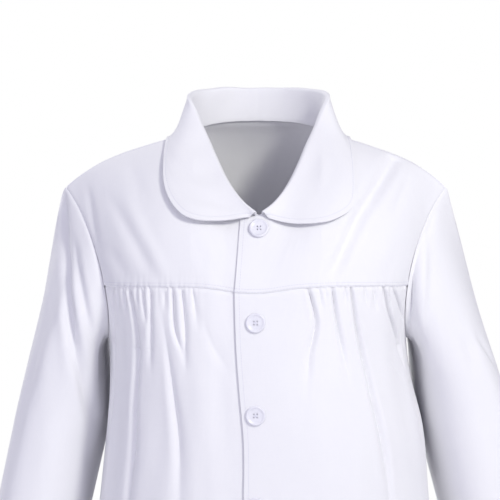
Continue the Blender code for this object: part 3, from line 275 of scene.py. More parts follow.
def round_body(level, distances, middle):
    """Points at distances along the cloth from the middle front (90) or back (270), plus toward +X."""
    points, offset = body_run(level, middle)
    return np.stack([np.interp(distances, offset, points[:, axis]) for axis in range(3)], axis=-1)


def armhole_reach(side, level, step, front):
    """Distance along the cloth from the middle to the armhole edge, at one step down the armhole."""
    depth = (ARMHOLE_FRONT_Y if front else ARMHOLE_BACK_Y) * math.cos(math.radians(step))
    points, offset = body_run(level, 90.0 if front else 270.0)
    chosen = offset * side >= 0
    depths = points[chosen, 1] * (1.0 if front else -1.0)
    order = np.argsort(depths)
    return side * float(np.interp(depth * (1.0 if front else -1.0), depths[order], offset[chosen][order]))


def path_line(table, count, side):
    """Points spaced evenly along a table of x, y, z rows, for one side of the dress."""
    rows = np.stack([column_of(table, key) for key in ("x", "y", "z")], axis=-1)
    walked = walked_length(rows)
    at = np.linspace(0.0, walked[-1], count + 1)
    points = np.stack([smooth(walked, rows[:, axis], at) for axis in range(3)], axis=-1)
    points[:, 0] *= side
    return points


def shoulder_line(count, side):
    """Shoulder seam from the sleeve to the side neck point."""
    points = path_line(SHOULDER, count, side)[::-1]
    points[:, 0] += NECK_SHIFT * np.linspace(0.0, 1.0, count + 1)
    return points


def hermite(start, leave, finish, land, t):
    """Curve from start to finish with the given pulls, at t from 0 to 1."""
    t = t[:, None]
    first = (1 + 2 * t) * (1 - t) ** 2 * start + t * (1 - t) ** 2 * leave
    second = t ** 2 * (3 - 2 * t) * finish + t ** 2 * (t - 1) * land
    return first + second


def hung_columns(top, bottom, lands, table, at, forward, rows):
    """Cloth between a top line and a bottom line, leaving the top as the table says."""
    slope = np.radians(smooth(column_of(table, "at"), column_of(table, "slope"), at))
    pull = smooth(column_of(table, "at"), column_of(table, "pull"), at)
    grid = np.zeros((len(rows), len(top), 3))
    for index in range(len(top)):
        chord = bottom[index] - top[index]
        length = np.linalg.norm(chord) * pull[index]
        leave = length * np.array([0.0, forward * math.cos(slope[index]), -math.sin(slope[index])])
        leave[0] = chord[0] * (1 + TIP_DRAW * (1 - min(at[index], 1.0)))
        land = lands[index] * np.linalg.norm(chord) * LAND_PULL
        grid[:, index] = hermite(top[index], leave, bottom[index], land, np.asarray(rows))
    return grid


def long_folds(folds, distances, level):
    """Height of the cloth from long hanging folds at one level."""
    height = np.zeros_like(distances)
    for fold in folds:
        share = (fold["start"] - level) / (fold["start"] - fold["end"])
        if share <= 0:
            continue
        middle = fold["top"] + (fold["low"] - fold["top"]) * share
        q = (distances - middle) / (fold["width"] * (1 + 0.7 * share))
        height -= fold["depth"] * float(ease(0.0, 0.6, share)) * (1 - 1.6 * q ** 2) * np.exp(-q ** 2)
    return height


def sheet_normals(points, closed=False, centred=True):
    """Directions square to a grid of points, away from the middle of the body or of the tube."""
    if closed:
        across = np.roll(points, -1, axis=1) - np.roll(points, 1, axis=1)
    else:
        across = np.gradient(points, axis=1)
    normals = unit(np.cross(across, np.gradient(points, axis=0)))
    if not centred:
        return normals
    away = points - (points.mean(axis=1, keepdims=True) if closed else 0.0)
    away = away * np.array([1.0, 1.0, 0.0])
    return -normals if np.sum(away * normals) < 0 else normals


def uneven(across, down, seed, length, height):
    """Slow waves of the cloth, mostly hanging, from a few seeded sines."""
    pick = np.random.default_rng(seed)
    total = np.zeros_like(across)
    for _ in range(7):
        lean = pick.uniform(-0.7, 0.7)
        wave = length * pick.uniform(0.6, 1.7)
        phase = pick.uniform(0.0, 2 * math.pi)
        total += np.sin(2 * math.pi * (across * math.cos(lean) + 0.55 * down * math.sin(lean)) / wave + phase)
    return height * total / math.sqrt(7.0)


def cotton(name, tint):
    """White woven cotton and polyester: fine plain weave, slubs, small wrinkles and a faint lavender tone."""
    material = bpy.data.materials.new(name)
    material.use_nodes = True
    shader = material.node_tree.nodes["Principled BSDF"]
    start = Shade(material.node_tree)
    cut = start.node("ShaderNodeUVMap", {"uv_map": "cut"})
    across = start.node("ShaderNodeSeparateXYZ", {}, {"Vector": cut}, "X")
    down = start.node("ShaderNodeSeparateXYZ", {}, {"Vector": cut}, "Y")
    thread = 2 * math.pi / 0.0008
    weave = start.maths("SINE", across * thread) * start.maths("SINE", down * thread)

    def noise(scale, detail):
        stretched = start.node("ShaderNodeMapping", {}, {"Vector": cut, "Scale": scale})
        return start.node("ShaderNodeTexNoise", {}, {"Vector": stretched, "Scale": 1.0, "Detail": detail}, "Fac")

    warp_slub = noise((1500.0, 60.0, 1.0), 1.0)
    weft_slub = noise((60.0, 1500.0, 1.0), 1.0)
    wrinkle = noise((46.0, 17.0, 1.0), 3.0)
    patch = noise((9.0, 6.0, 1.0), 2.0)
    slub = warp_slub + weft_slub
    height = weave * 0.000018 + slub * 0.00003 + wrinkle * 0.00055
    bump = start.node("ShaderNodeBump", {}, {"Height": height, "Strength": 1.0, "Distance": 1.0})
    shade = patch * 0.5 + slub * 0.25
    light_tone = tuple(channel * 1.02 for channel in tint) + (1.0,)
    dark_tone = (tint[0] * 0.965, tint[1] * 0.965, tint[2] * 0.98, 1.0)
    colour = start.node("ShaderNodeValToRGB", {"stops": ((0.25, light_tone), (0.75, dark_tone))}, {"Fac": shade})
    material.node_tree.links.new(colour.socket, shader.inputs["Base Color"])
    material.node_tree.links.new((slub * 0.06 + 0.82).socket, shader.inputs["Roughness"])
    material.node_tree.links.new(bump.socket, shader.inputs["Normal"])
    shader.inputs["Specular IOR Level"].default_value = 0.28
    shader.inputs["Sheen Weight"].default_value = 0.12
    shader.inputs["Sheen Roughness"].default_value = 0.45
    return material


def sewn_panel(name, points, normals, height, material, thickness, closed=False, edge_round=0.0004):
    """A thin shell of cloth on a grid of points, raised or sunk by a height at each point."""
    surface = points + normals * height[..., None]
    rows, columns = surface.shape[:2]
    if closed:
        surface = np.concatenate([surface, surface[:, :1]], axis=1)
        columns += 1
    across = walked_length(surface, axis=1)
    down = walked_length(surface, axis=0)
    across = across - across[:, columns // 2][:, None]
    shape = bmesh.new()
    bmesh.ops.create_grid(shape, x_segments=columns - 1, y_segments=rows - 1, size=0.5)
    shape.verts.ensure_lookup_table()
    for vertex, place in zip(shape.verts, surface.reshape(-1, 3)):
        vertex.co = place
    layer = shape.loops.layers.uv.new("cut")
    flat = np.stack([across.ravel(), down.ravel()], axis=-1)
    for face in shape.faces:
        face.smooth = True
        for corner in face.loops:
            corner[layer].uv = flat[corner.vert.index]
    shape.normal_update()
    shape.faces.ensure_lookup_table()
    picked = shape.faces[(rows // 2) * (columns - 1) + columns // 2]
    wanted = normals[rows // 2, columns // 2]
    if picked.normal.dot(Vector(wanted)) < 0:
        bmesh.ops.reverse_faces(shape, faces=shape.faces)
    if closed:
        bmesh.ops.remove_doubles(shape, verts=shape.verts, dist=0.000001)
    mesh = bpy.data.meshes.new(name)
    shape.to_mesh(mesh)
    shape.free()
    mesh.materials.append(material)
    piece = bpy.data.objects.new(name, mesh)
    bpy.context.scene.collection.objects.link(piece)
    wall = piece.modifiers.new("wall", "SOLIDIFY")
    wall.thickness = thickness
    wall.offset = 0.0
    rim = piece.modifiers.new("rim", "BEVEL")
    rim.limit_method = "ANGLE"
    rim.angle_limit = math.radians(60.0)
    rim.width = edge_round
    rim.segments = 2
    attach(piece, "root")
    return piece, surface[:, :-1] if closed else surface


BACK_SHOULDER_COLUMNS = 44
BACK_NECK_COLUMNS = 26
BACK_ARM_STEPS = np.linspace(0.0, 90.0, 25)[1:]
LOW_LEVELS = np.concatenate([np.linspace(UNDERARM_LEVEL, -0.330, 47)[1:], np.linspace(-0.330, HEM_LEVEL, 109)[1:]])


def back_base():
    """Back before its folds, and the distance of each point from the middle back."""
    halves = {}
    for side in (1, -1):
        neck = path_line(NECK_BACK, BACK_NECK_COLUMNS, side)
        neck[:, 0] += NECK_SHIFT
        halves[side] = np.concatenate([shoulder_line(BACK_SHOULDER_COLUMNS, side), neck[1:]])
    top = np.concatenate([halves[1], halves[-1][::-1][1:]])
    share = np.concatenate([
        np.linspace(0.0, 1.0, BACK_SHOULDER_COLUMNS + 1),
        np.linspace(1.0, 2.0, BACK_NECK_COLUMNS + 1)[1:],
    ])
    at = np.concatenate([share, share[::-1][1:]])
    beside = BACK_BESIDE_NECK / BACK_ARM_REACH

    def spread(level, step):
        halves = []
        for side in (1, -1):
            edge = side * armhole_reach(side, level, step, False)
            halves.append(side * np.concatenate([
                np.linspace(edge * side, beside * edge * side, BACK_SHOULDER_COLUMNS + 1),
                np.linspace(beside * edge * side, 0.0, BACK_NECK_COLUMNS + 1)[1:],
            ]))
        return np.concatenate([halves[0], halves[1][::-1][1:]])

    distances = spread(YOKE_LEVEL, 0.0)
    bottom = round_body(YOKE_LEVEL, distances, 270.0)
    below = round_body(YOKE_LEVEL - LANDING_DROP, distances, 270.0) - bottom
    upper = hung_columns(top, bottom, unit(below), BACK_LEAVE, at, 1.0, np.linspace(0.0, 1.0, 71))
    rows = [row for row in upper]
    spans = [distances for _ in upper]
    levels = [float(np.mean(row[:, 2])) for row in upper]
    for step in BACK_ARM_STEPS:
        level = YOKE_LEVEL - ARMHOLE_DROP * math.sin(math.radians(step))
        spans.append(spread(level, step))
        rows.append(round_body(level, spans[-1], 270.0))
        levels.append(level)
    for level in LOW_LEVELS:
        spans.append(spread(level, 90.0))
        rows.append(round_body(level, spans[-1], 270.0))
        levels.append(level)
    return np.array(rows), np.array(spans), levels


def seam_dip(distance, depth=0.0010, width=0.0015):
    """The small valley along a sewn seam."""
    return -depth * np.exp(-(distance / width) ** 2)


WHITE = (0.890, 0.890, 0.902)
back_points, back_spans, back_levels = back_base()
over_blades = ease(0.125, 0.100, np.abs(back_points[..., 0])) * ease(0.0, 0.012, walked_length(back_points))
for _ in range(40):
    beside_it = 0.5 * (back_points[:, :-2, 1] + back_points[:, 2:, 1])
    back_points[:, 1:-1, 1] += 0.5 * over_blades[:, 1:-1] * (beside_it - back_points[:, 1:-1, 1])
back_normals = sheet_normals(back_points)
back_height = np.array([long_folds(BACK_FOLDS, span, level) for span, level in zip(back_spans, back_levels)])
from_top = walked_length(back_points)
from_left = walked_length(back_points, axis=1)
from_right = from_left[:, -1:] - from_left
inside = ease(0.0, 0.012, from_left) * ease(0.0, 0.012, from_right) * ease(0.0, 0.02, from_top)
back_height = inside * (back_height + uneven(back_spans, back_points[..., 2], 11, 0.07, 0.0006))
back_height += seam_dip(from_left) + seam_dip(from_right) + seam_dip(from_top)
back_sewn, back_surface = sewn_panel(
    "back_panel", back_points, back_normals, back_height, cotton("cotton_back", WHITE), CLOTH)
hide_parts("back")

# Yokes. Two pieces of the same weave over the chest, sewn to the back along the shoulders and lapped at the
# front. The lower edge is turned in and sewn down twice over the gathered fronts, which puckers it.
LAP_EDGE = 0.0215
LAP_EDGE_TOP = 0.0155
UNDER_EDGE = 0.020
LAP_SINK = 0.0026
LAP_TOP_FALL = -0.0018
YOKE_BESIDE_NECK = 0.066
YOKE_SHOULDER_COLUMNS = 84
YOKE_NECK_COLUMNS = 56
YOKE_LAP_COLUMNS = 20
YOKE_ROWS = np.concatenate([np.linspace(0.0, 0.93, 88), np.linspace(0.93, 1.0, 19)[1:]])
# Height of the yoke seam by distance from the middle front
YOKE_SEAM = (
    dict(x=-0.155, level=-0.1550),
    dict(x=-0.100, level=-0.1520),
    dict(x=-0.045, level=-0.1525),
    dict(x=-0.022, level=-0.1560),
    dict(x=0.000, level=-0.1570),
    dict(x=0.045, level=-0.1520),
    dict(x=0.100, level=-0.1515),
    dict(x=0.155, level=-0.1550),
)
NECK_FRONT = (
    dict(x=0.065, y=-0.004, z=-0.001),
    dict(x=0.062, y=-0.010, z=-0.008),
    dict(x=0.057, y=-0.021, z=-0.019),
    dict(x=0.0505, y=-0.034, z=-0.0315),
    dict(x=0.0435, y=-0.0485, z=-0.0435),
    dict(x=0.036, y=-0.062, z=-0.0545),
    dict(x=0.027, y=-0.0745, z=-0.0650),
    dict(x=0.015, y=-0.085, z=-0.0745),
    dict(x=0.000, y=-0.0915, z=-0.0810),
)
FRONT_LEAVE = (
    dict(at=0.00, slope=40.0, pull=0.80),
    dict(at=0.20, slope=33.0, pull=0.90),
    dict(at=0.50, slope=24.0, pull=1.02),
    dict(at=1.00, slope=22.0, pull=1.02),
    dict(at=1.50, slope=44.0, pull=0.95),
    dict(at=2.00, slope=66.0, pull=0.90),
)
# Soft pulls of the yokes between two places seen from the front; a depth below zero is a ridge
YOKE_FOLDS = {
    -1: (
        dict(x0=-0.152, z0=-0.060, x1=-0.098, z1=-0.150, width=0.0080, depth=0.0014),
        dict(x0=-0.136, z0=-0.060, x1=-0.084, z1=-0.150, width=0.0080, depth=-0.0012),
        dict(x0=-0.174, z0=-0.052, x1=-0.160, z1=-0.120, width=0.0055, depth=0.0017),
        dict(x0=-0.132, z0=-0.026, x1=-0.112, z1=-0.072, width=0.0100, depth=0.0010),
        dict(x0=-0.150, z0=-0.112, x1=-0.124, z1=-0.156, width=0.0090, depth=0.0012),
        dict(x0=-0.062, z0=-0.105, x1=-0.030, z1=-0.155, width=0.0100, depth=0.0007),
    ),
    1: (
        dict(x0=0.150, z0=-0.018, x1=0.099, z1=-0.090, width=0.0100, depth=0.0066),
        dict(x0=0.111, z0=-0.068, x1=0.071, z1=-0.150, width=0.0090, depth=0.0060),
        dict(x0=0.158, z0=-0.046, x1=0.138, z1=-0.082, width=0.0060, depth=0.0012),
        dict(x0=0.150, z0=-0.100, x1=0.128, z1=-0.156, width=0.0110, depth=0.0006),
    ),
}


def seam_level(x):
    return smooth(column_of(YOKE_SEAM, "x"), column_of(YOKE_SEAM, "level"), x)


def set_back(points, side):
    """The under layer moved straight back beneath the lap; the upper layer stays."""
    moved = points.copy()
    if side < 0:
        moved[..., 1] += LAP_SINK * ease(-0.048, -0.027, points[..., 0])
    return moved


def seam_line(side, distances):
    """Yoke seam of one side at distances from the middle front, plus toward the side."""
    points = round_body(YOKE_LEVEL, side * distances, 90.0)
    for index in range(len(points)):
        level = float(seam_level(points[index, 0]))
        points[index] = round_body(level, [side * distances[index]], 90.0)[0]
    return points


def yoke_base(side):
    """Yoke of one side without its lap, from the shoulder and neck down to the yoke seam."""
    neck = path_line(NECK_FRONT, YOKE_NECK_COLUMNS, side)
    neck[:, 0] += NECK_SHIFT
    top = np.concatenate([shoulder_line(YOKE_SHOULDER_COLUMNS, side), neck[1:]])
    arm = armhole_reach(side, YOKE_LEVEL, 0.0, True)
    distances = np.concatenate([
        np.linspace(arm, YOKE_BESIDE_NECK, YOKE_SHOULDER_COLUMNS + 1),
        np.linspace(YOKE_BESIDE_NECK, side * NECK_SHIFT, YOKE_NECK_COLUMNS + 1)[1:],
    ])
    level = round_body(YOKE_LEVEL, side * distances, 90.0)
    below = round_body(YOKE_LEVEL - LANDING_DROP, side * distances, 90.0) - level
    at = np.concatenate([
        np.linspace(0.0, 1.0, YOKE_SHOULDER_COLUMNS + 1),
        np.linspace(1.0, 2.0, YOKE_NECK_COLUMNS + 1)[1:],
    ])
    return hung_columns(top, seam_line(side, distances), unit(below), FRONT_LEAVE, at, -1.0, YOKE_ROWS)


def search_tree(grids):
    """Search tree over grids of points whose faces are turned outward."""
    points = []
    faces = []
    for grid, normals in grids:
        rows, columns = grid.shape[:2]
        first = np.cross(grid[1, 0] - grid[0, 0], grid[0, 1] - grid[0, 0])
        ahead = float(np.dot(first, normals[0, 0])) > 0
        base = len(points)
        points.extend(Vector(place) for place in grid.reshape(-1, 3))
        for row in range(rows - 1):
            for corner in range(base + row * columns, base + row * columns + columns - 1):
                face = (corner, corner + columns, corner + columns + 1, corner + 1)
                faces.append(face if ahead else face[::-1])
    return BVHTree.FromPolygons(points, faces)


def with_lap(side, base, other):
    """A yoke with its lap, which follows the cloth of the other side past the middle."""
    tree = search_tree([(other, sheet_normals(other))])
    middle = base[:, -1]
    reach = LAP_EDGE_TOP if side > 0 else UNDER_EDGE
    end = -LAP_EDGE if side > 0 else -UNDER_EDGE
    distances = np.linspace(side * NECK_SHIFT, end, YOKE_LAP_COLUMNS + 1)[1:]
    bottom = seam_line(side, distances)
    lap = np.zeros((len(YOKE_ROWS), YOKE_LAP_COLUMNS, 3))
    for step in range(YOKE_LAP_COLUMNS):
        share = (step + 1) / YOKE_LAP_COLUMNS
        top_x = middle[0, 0] * (1 - share) - side * reach * share
        top_z = middle[0, 2] + LAP_TOP_FALL * share
        lap[-1, step] = bottom[step]
        for row, t in enumerate(YOKE_ROWS[:-1]):
            drop = (middle[row, 2] - middle[0, 2]) / (middle[-1, 2] - middle[0, 2])
            x = top_x + (bottom[step, 0] - top_x) * t
            z = top_z + (bottom[step, 2] - top_z) * drop
            spot = tree.ray_cast(Vector((x, -1.0, z)), Vector((0.0, 1.0, 0.0)))[0]
            lap[row, step] = (x, spot[1], z)
    return np.concatenate([base, lap], axis=1)


def pulls(folds, points):
    """Height from soft pulls that run between two places seen from the front."""
    height = np.zeros(points.shape[:-1])
    for fold in folds:
        start = np.array([fold["x0"], fold["z0"]])
        along = np.array([fold["x1"], fold["z1"]]) - start
        length = np.linalg.norm(along)
        along = along / length
        flat = points[..., (0, 2)] - start
        share = (flat @ along) / length
        q = (flat @ np.array([along[1], -along[0]])) / fold["width"]
        strength = ease(-0.10, 0.35, share) * (1 - ease(0.60, 1.15, share))
        height -= fold["depth"] * strength * (1 - 0.8 * q ** 2) * np.exp(-q ** 2)
    return height


def pucker(along, seed, pitch, height):
    """Small uneven waves along a line of stitches."""
    pick = np.random.default_rng(seed)
    wander = np.interp(along, np.linspace(-0.3, 0.3, 60), pick.uniform(-0.45, 0.45, 60))
    swell = np.interp(along, np.linspace(-0.3, 0.3, 40), pick.uniform(0.35, 1.0, 40))
    return height * swell * (1 - 2 * (1 - np.abs(np.sin(math.pi * (along / pitch + wander)))) ** 2)


yoke_bases = {side: yoke_base(side) for side in (1, -1)}
yoke_points = {side: set_back(with_lap(side, yoke_bases[side], yoke_bases[-side]), side) for side in (1, -1)}
yoke_normals = {}
yoke_surface = {}
yoke_sewn = {}
yoke_cover = {}
for side, word in ((1, "left"), (-1, "right")):
    points = yoke_points[side]
    yoke_normals[side] = sheet_normals(points)
    down = walked_length(points)
    up = down[-1:] - down
    inward = walked_length(points, axis=1)
    held = ease(0.0, 0.010, inward) * ease(0.0, 0.010, down)
    free = held * ease(0.0, 0.012, up)
    gathered = ease(0.042, 0.060, np.abs(points[..., 0]))
    height = held * pulls(YOKE_FOLDS[side], points) * (0.35 + 0.65 * ease(0.0, 0.02, up))
    height += free * uneven(points[..., 0], points[..., 2], 21 + side, 0.055, 0.00030)
    height += pucker(points[..., 0], 31 + side, 0.0066, 0.0006) * gathered * np.exp(-up / 0.0060)
    lip = 0.0004 * (1 - ease(0.0030, 0.0110, up)) - 0.0007 * np.exp(-(up / 0.0009) ** 2)
    height += lip + seam_dip(inward) + seam_dip(down)
    yoke_cover[side] = points + yoke_normals[side] * (np.maximum(height, 0.0) + 0.5 * CLOTH)[..., None]
    yoke_sewn[side], yoke_surface[side] = sewn_panel(
        "yoke_%s_panel" % word, points, yoke_normals[side], height, cotton("cotton_yoke_" + word, WHITE), CLOTH)
    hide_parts("yoke_" + word)

# Lower fronts. Each is cut wider than the yoke, drawn up into uneven gathers and sewn beneath the yoke edge.
# The gathers open below the seam; a few run on as long folds, and large folds form toward the hem.
FRONT_COLUMNS = 168
EVEN_LEVEL = -0.430
TUCK = 0.0035
# Gathers: distances from the middle front at three levels, half width at the top and end, depth, end level
FRONT_FOLDS = {
    -1: (
        dict(d=(0.1600, 0.1780, 0.2150), z=(-0.156, -0.210, -0.330), width=(0.0037, 0.0079), depth=0.0032, end=-0.400),
        dict(d=(0.1440, 0.1432, 0.1425), z=(-0.156, -0.170, -0.190), width=(0.0027, 0.0040), depth=0.0021, end=-0.188),
        dict(d=(0.1351, 0.1314, 0.1427), z=(-0.156, -0.200, -0.277), width=(0.0031, 0.0075), depth=0.0046, end=-0.480),
        dict(d=(0.1197, 0.1176, 0.1160), z=(-0.156, -0.174, -0.195), width=(0.0027, 0.0044), depth=0.0026, end=-0.200),
        dict(d=(0.1090, 0.1110, 0.1145), z=(-0.156, -0.190, -0.222), width=(0.0028, 0.0053), depth=0.0033, end=-0.255),
        dict(d=(0.0990, 0.0935, 0.0902), z=(-0.160, -0.215, -0.279), width=(0.0036, 0.0092), depth=0.0044, end=-0.460),
        dict(d=(0.0849, 0.0835, 0.0771), z=(-0.156, -0.197, -0.217), width=(0.0028, 0.0044), depth=0.0036, end=-0.240),
        dict(d=(0.0755, 0.0734, 0.0739), z=(-0.156, -0.184, -0.217), width=(0.0026, 0.0048), depth=0.0033, end=-0.245),
        dict(d=(0.0641, 0.0620, 0.0600), z=(-0.156, -0.170, -0.187), width=(0.0026, 0.0044), depth=0.0015, end=-0.200),
        dict(d=(0.0566, 0.0428, 0.0275), z=(-0.170, -0.213, -0.237), width=(0.0067, 0.0106), depth=0.0011, end=-0.262),
        dict(d=(0.1260, 0.1262, 0.1265), z=(-0.156, -0.170, -0.190), width=(0.0022, 0.0035), depth=0.0015, end=-0.178),
        dict(d=(0.0930, 0.0935, 0.0940), z=(-0.156, -0.170, -0.190), width=(0.0022, 0.0035), depth=0.0015, end=-0.180),
        dict(d=(0.1520, 0.1540, 0.1560), z=(-0.156, -0.170, -0.190), width=(0.0024, 0.0040), depth=0.0018, end=-0.185),
    ),
    1: (
        dict(d=(0.0519, 0.0593, 0.0506), z=(-0.154, -0.184, -0.221), width=(0.0022, 0.0061), depth=0.0043, end=-0.275),
        dict(d=(0.0630, 0.0648, 0.0660), z=(-0.154, -0.167, -0.185), width=(0.0019, 0.0036), depth=0.0021, end=-0.180),
        dict(d=(0.0765, 0.0812, 0.0878), z=(-0.154, -0.182, -0.217), width=(0.0022, 0.0048), depth=0.0042, end=-0.262),
        dict(d=(0.0905, 0.0915, 0.0925), z=(-0.154, -0.165, -0.185), width=(0.0017, 0.0033), depth=0.0018, end=-0.176),
        dict(d=(0.0968, 0.1034, 0.1160), z=(-0.154, -0.188, -0.240), width=(0.0024, 0.0077), depth=0.0050, end=-0.470),
        dict(d=(0.1126, 0.1140, 0.1155), z=(-0.154, -0.165, -0.185), width=(0.0018, 0.0034), depth=0.0019, end=-0.178),
        dict(d=(0.1240, 0.1256, 0.1275), z=(-0.155, -0.166, -0.185), width=(0.0019, 0.0036), depth=0.0022, end=-0.184),
        dict(d=(0.1363, 0.1477, 0.1690), z=(-0.155, -0.181, -0.209), width=(0.0022, 0.0053), depth=0.0067, end=-0.255),
        dict(d=(0.1500, 0.1660, 0.1940), z=(-0.156, -0.176, -0.201), width=(0.0022, 0.0045), depth=0.0056, end=-0.226),
        dict(d=(0.1410, 0.1530, 0.1690), z=(-0.222, -0.234, -0.246), width=(0.0046, 0.0065), depth=0.0013, end=-0.262),
        dict(d=(0.0346, 0.0227, 0.0138), z=(-0.163, -0.196, -0.217), width=(0.0050, 0.0073), depth=0.0008, end=-0.240),
        dict(d=(0.0700, 0.0702, 0.0705), z=(-0.154, -0.165, -0.180), width=(0.0016, 0.0031), depth=0.0012, end=-0.172),
        dict(d=(0.1440, 0.1465, 0.1500), z=(-0.156, -0.166, -0.180), width=(0.0016, 0.0031), depth=0.0014, end=-0.180),
    ),
}
# Large folds of the skirt part, measured from the middle front
SKIRT_FOLDS = {
    -1: (
        dict(top=0.074, low=0.098, start=-0.330, end=-1.050, width=0.0240, depth=0.0105),
        dict(top=0.144, low=0.198, start=-0.350, end=-1.050, width=0.0260, depth=0.0125),
        dict(top=0.110, low=0.150, start=-0.400, end=-1.050, width=0.0110, depth=0.0024),
    ),
    1: (
        dict(top=0.080, low=0.105, start=-0.330, end=-1.050, width=0.0240, depth=0.0110),
        dict(top=0.150, low=0.205, start=-0.360, end=-1.050, width=0.0260, depth=0.0120),
        dict(top=0.116, low=0.158, start=-0.420, end=-1.050, width=0.0110, depth=0.0026),
    ),
}


def front_base(side):
    """Lower front of one side before its folds, the distances from the middle front, and the levels."""
    shares = np.linspace(0.0, 1.0, FRONT_COLUMNS + 1)
    lap = -LAP_EDGE if side > 0 else -UNDER_EDGE
    steps = np.concatenate([np.degrees(np.arcsin(np.linspace(0.0, 0.94, 42))), np.linspace(70.05, 90.0, 12)[1:]])
    levels = [YOKE_LEVEL - ARMHOLE_DROP * math.sin(math.radians(step)) for step in steps]
    edges = [armhole_reach(side, level, step, True) for level, step in zip(levels, steps)]
    for level in LOW_LEVELS:
        levels.append(level)
        edges.append(armhole_reach(side, level, 90.0, True))
    rows = []
    spans = []
    for number, (level, edge) in enumerate(zip(levels, edges)):
        even = float(ease(-UNDERARM_LEVEL, -EVEN_LEVEL, -level))
        spread = even * shares + (1 - even) * ease(0.60, 1.0, shares)
        distances = lap + (edges[0] - lap) * shares + (edge - edges[0]) * spread
        if number == 0:
            row = seam_line(side, distances)
        else:
            row = round_body(level, side * distances, 90.0)
            blend = float(1 - ease(-YOKE_LEVEL, 0.185, -level))
            row[:, 2] += blend * (seam_level(row[:, 0]) - YOKE_LEVEL)
        rows.append(row)
        spans.append(distances)
    return set_back(np.array(rows), side), np.array(spans), levels


def gathers(folds, distances, level):
    """Height of the cloth from gathers that start at the yoke seam, at one level."""
    height = np.zeros_like(distances)
    for fold in folds:
        start = fold["z"][0]
        share = (start - level) / (start - fold["end"])
        if share >= 1:
            continue
        levels = np.array(fold["z"])[::-1]
        middle = float(smooth(levels, np.array(fold["d"])[::-1], level))
        tail = (fold["d"][2] - fold["d"][1]) / (fold["z"][2] - fold["z"][1])
        if level < fold["z"][2]:
            middle += tail * (level - fold["z"][2]) * 0.6
        share = max(share, 0.0)
        width = fold["width"][0] + (fold["width"][1] - fold["width"][0]) * min(1.0, 1.4 * share)
        onset = float(ease(-0.3, 1.0, (start - level) / 0.007)) if start > -0.158 else float(ease(0.0, 0.5, share))
        strength = onset * float(1 - ease(0.35, 1.0, share)) ** 1.2
        q = (distances - middle) / width
        q = q * (1 + 0.22 * np.tanh(q))
        valley = 0.50 * (1 - 0.9 * q ** 2) * np.exp(-0.85 * q ** 2) + 0.80 * np.exp(-2.6 * np.sqrt(q ** 2 + 0.01))
        height -= 1.2 * fold["depth"] * strength * valley
    return height


front_points = {}
front_surface = {}
front_normals = {}
front_sewn = {}
for side, word in ((1, "left"), (-1, "right")):
    points, spans, levels = front_base(side)
    normals = sheet_normals(points)
    down = walked_length(points)
    side_edge = np.min([np.linalg.norm(points - place, axis=-1) for place in points[:, -1]], axis=0)
    held = ease(0.020, 0.040, spans) * ease(0.0, 0.016, side_edge)
    fold = np.array([gathers(FRONT_FOLDS[side], span, level) for span, level in zip(spans, levels)])
    skirt = np.array([long_folds(SKIRT_FOLDS[side], span, level) for span, level in zip(spans, levels)])
    loose = ease(0.0, 0.03, down)
    crumple = uneven(spans, points[..., 2], 41 + side, 0.045, 0.00055) * loose
    bunch = pucker(spans, 51 + side, 0.0056, 0.0009) * np.exp(-down / 0.012) * ease(0.045, 0.060, spans)
    height = held * (fold + skirt + crumple + bunch)
    height += seam_dip(side_edge) - 0.0010 * (1 - ease(0.0, 0.004, down))
    surface = points + normals * height[..., None]
    up = unit(surface[0] - surface[2])
    tuck = [surface[0] + up * TUCK * share - normals[0] * 0.0002 for share in (1.0, 0.66, 0.33)]
    front_points[side] = points
    full_points = np.concatenate([np.array(tuck), surface])
    full_normals = np.concatenate([np.repeat(normals[:1], 3, axis=0), normals])
    front_sewn[side], front_surface[side] = sewn_panel(
        "front_%s_panel" % word, full_points, full_normals, np.zeros(full_points.shape[:2]),
        cotton("cotton_front_" + word, WHITE), CLOTH)
    front_normals[side] = full_normals
    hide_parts("front_" + word)

# Sleeves. Long set-in sleeves of the same weave, closed under the arm and sewn into the armholes.
# They hang a little forward with the bend of an arm, with long creases from the armhole to the elbow.
SLEEVE_RINGS = {
    1: (
        dict(level=-0.622, x=0.2780, y=-0.025, across=0.0370, deep=0.0510),
        dict(level=-0.565, x=0.2730, y=-0.011, across=0.0385, deep=0.0550),
        dict(level=-0.500, x=0.2640, y=0.003, across=0.0410, deep=0.0610),
        dict(level=-0.430, x=0.2510, y=0.014, across=0.0430, deep=0.0680),
        dict(level=-0.360, x=0.2345, y=0.020, across=0.0445, deep=0.0730),
        dict(level=-0.300, x=0.2190, y=0.022, across=0.0450, deep=0.0740),
    ),
    -1: (
        dict(level=-0.622, x=-0.2560, y=-0.025, across=0.0370, deep=0.0510),
        dict(level=-0.565, x=-0.2510, y=-0.011, across=0.0385, deep=0.0550),
        dict(level=-0.500, x=-0.2420, y=0.003, across=0.0410, deep=0.0610),
        dict(level=-0.430, x=-0.2300, y=0.014, across=0.0430, deep=0.0680),
        dict(level=-0.360, x=-0.2160, y=0.020, across=0.0440, deep=0.0730),
        dict(level=-0.300, x=-0.2030, y=0.022, across=0.0445, deep=0.0740),
    ),
}
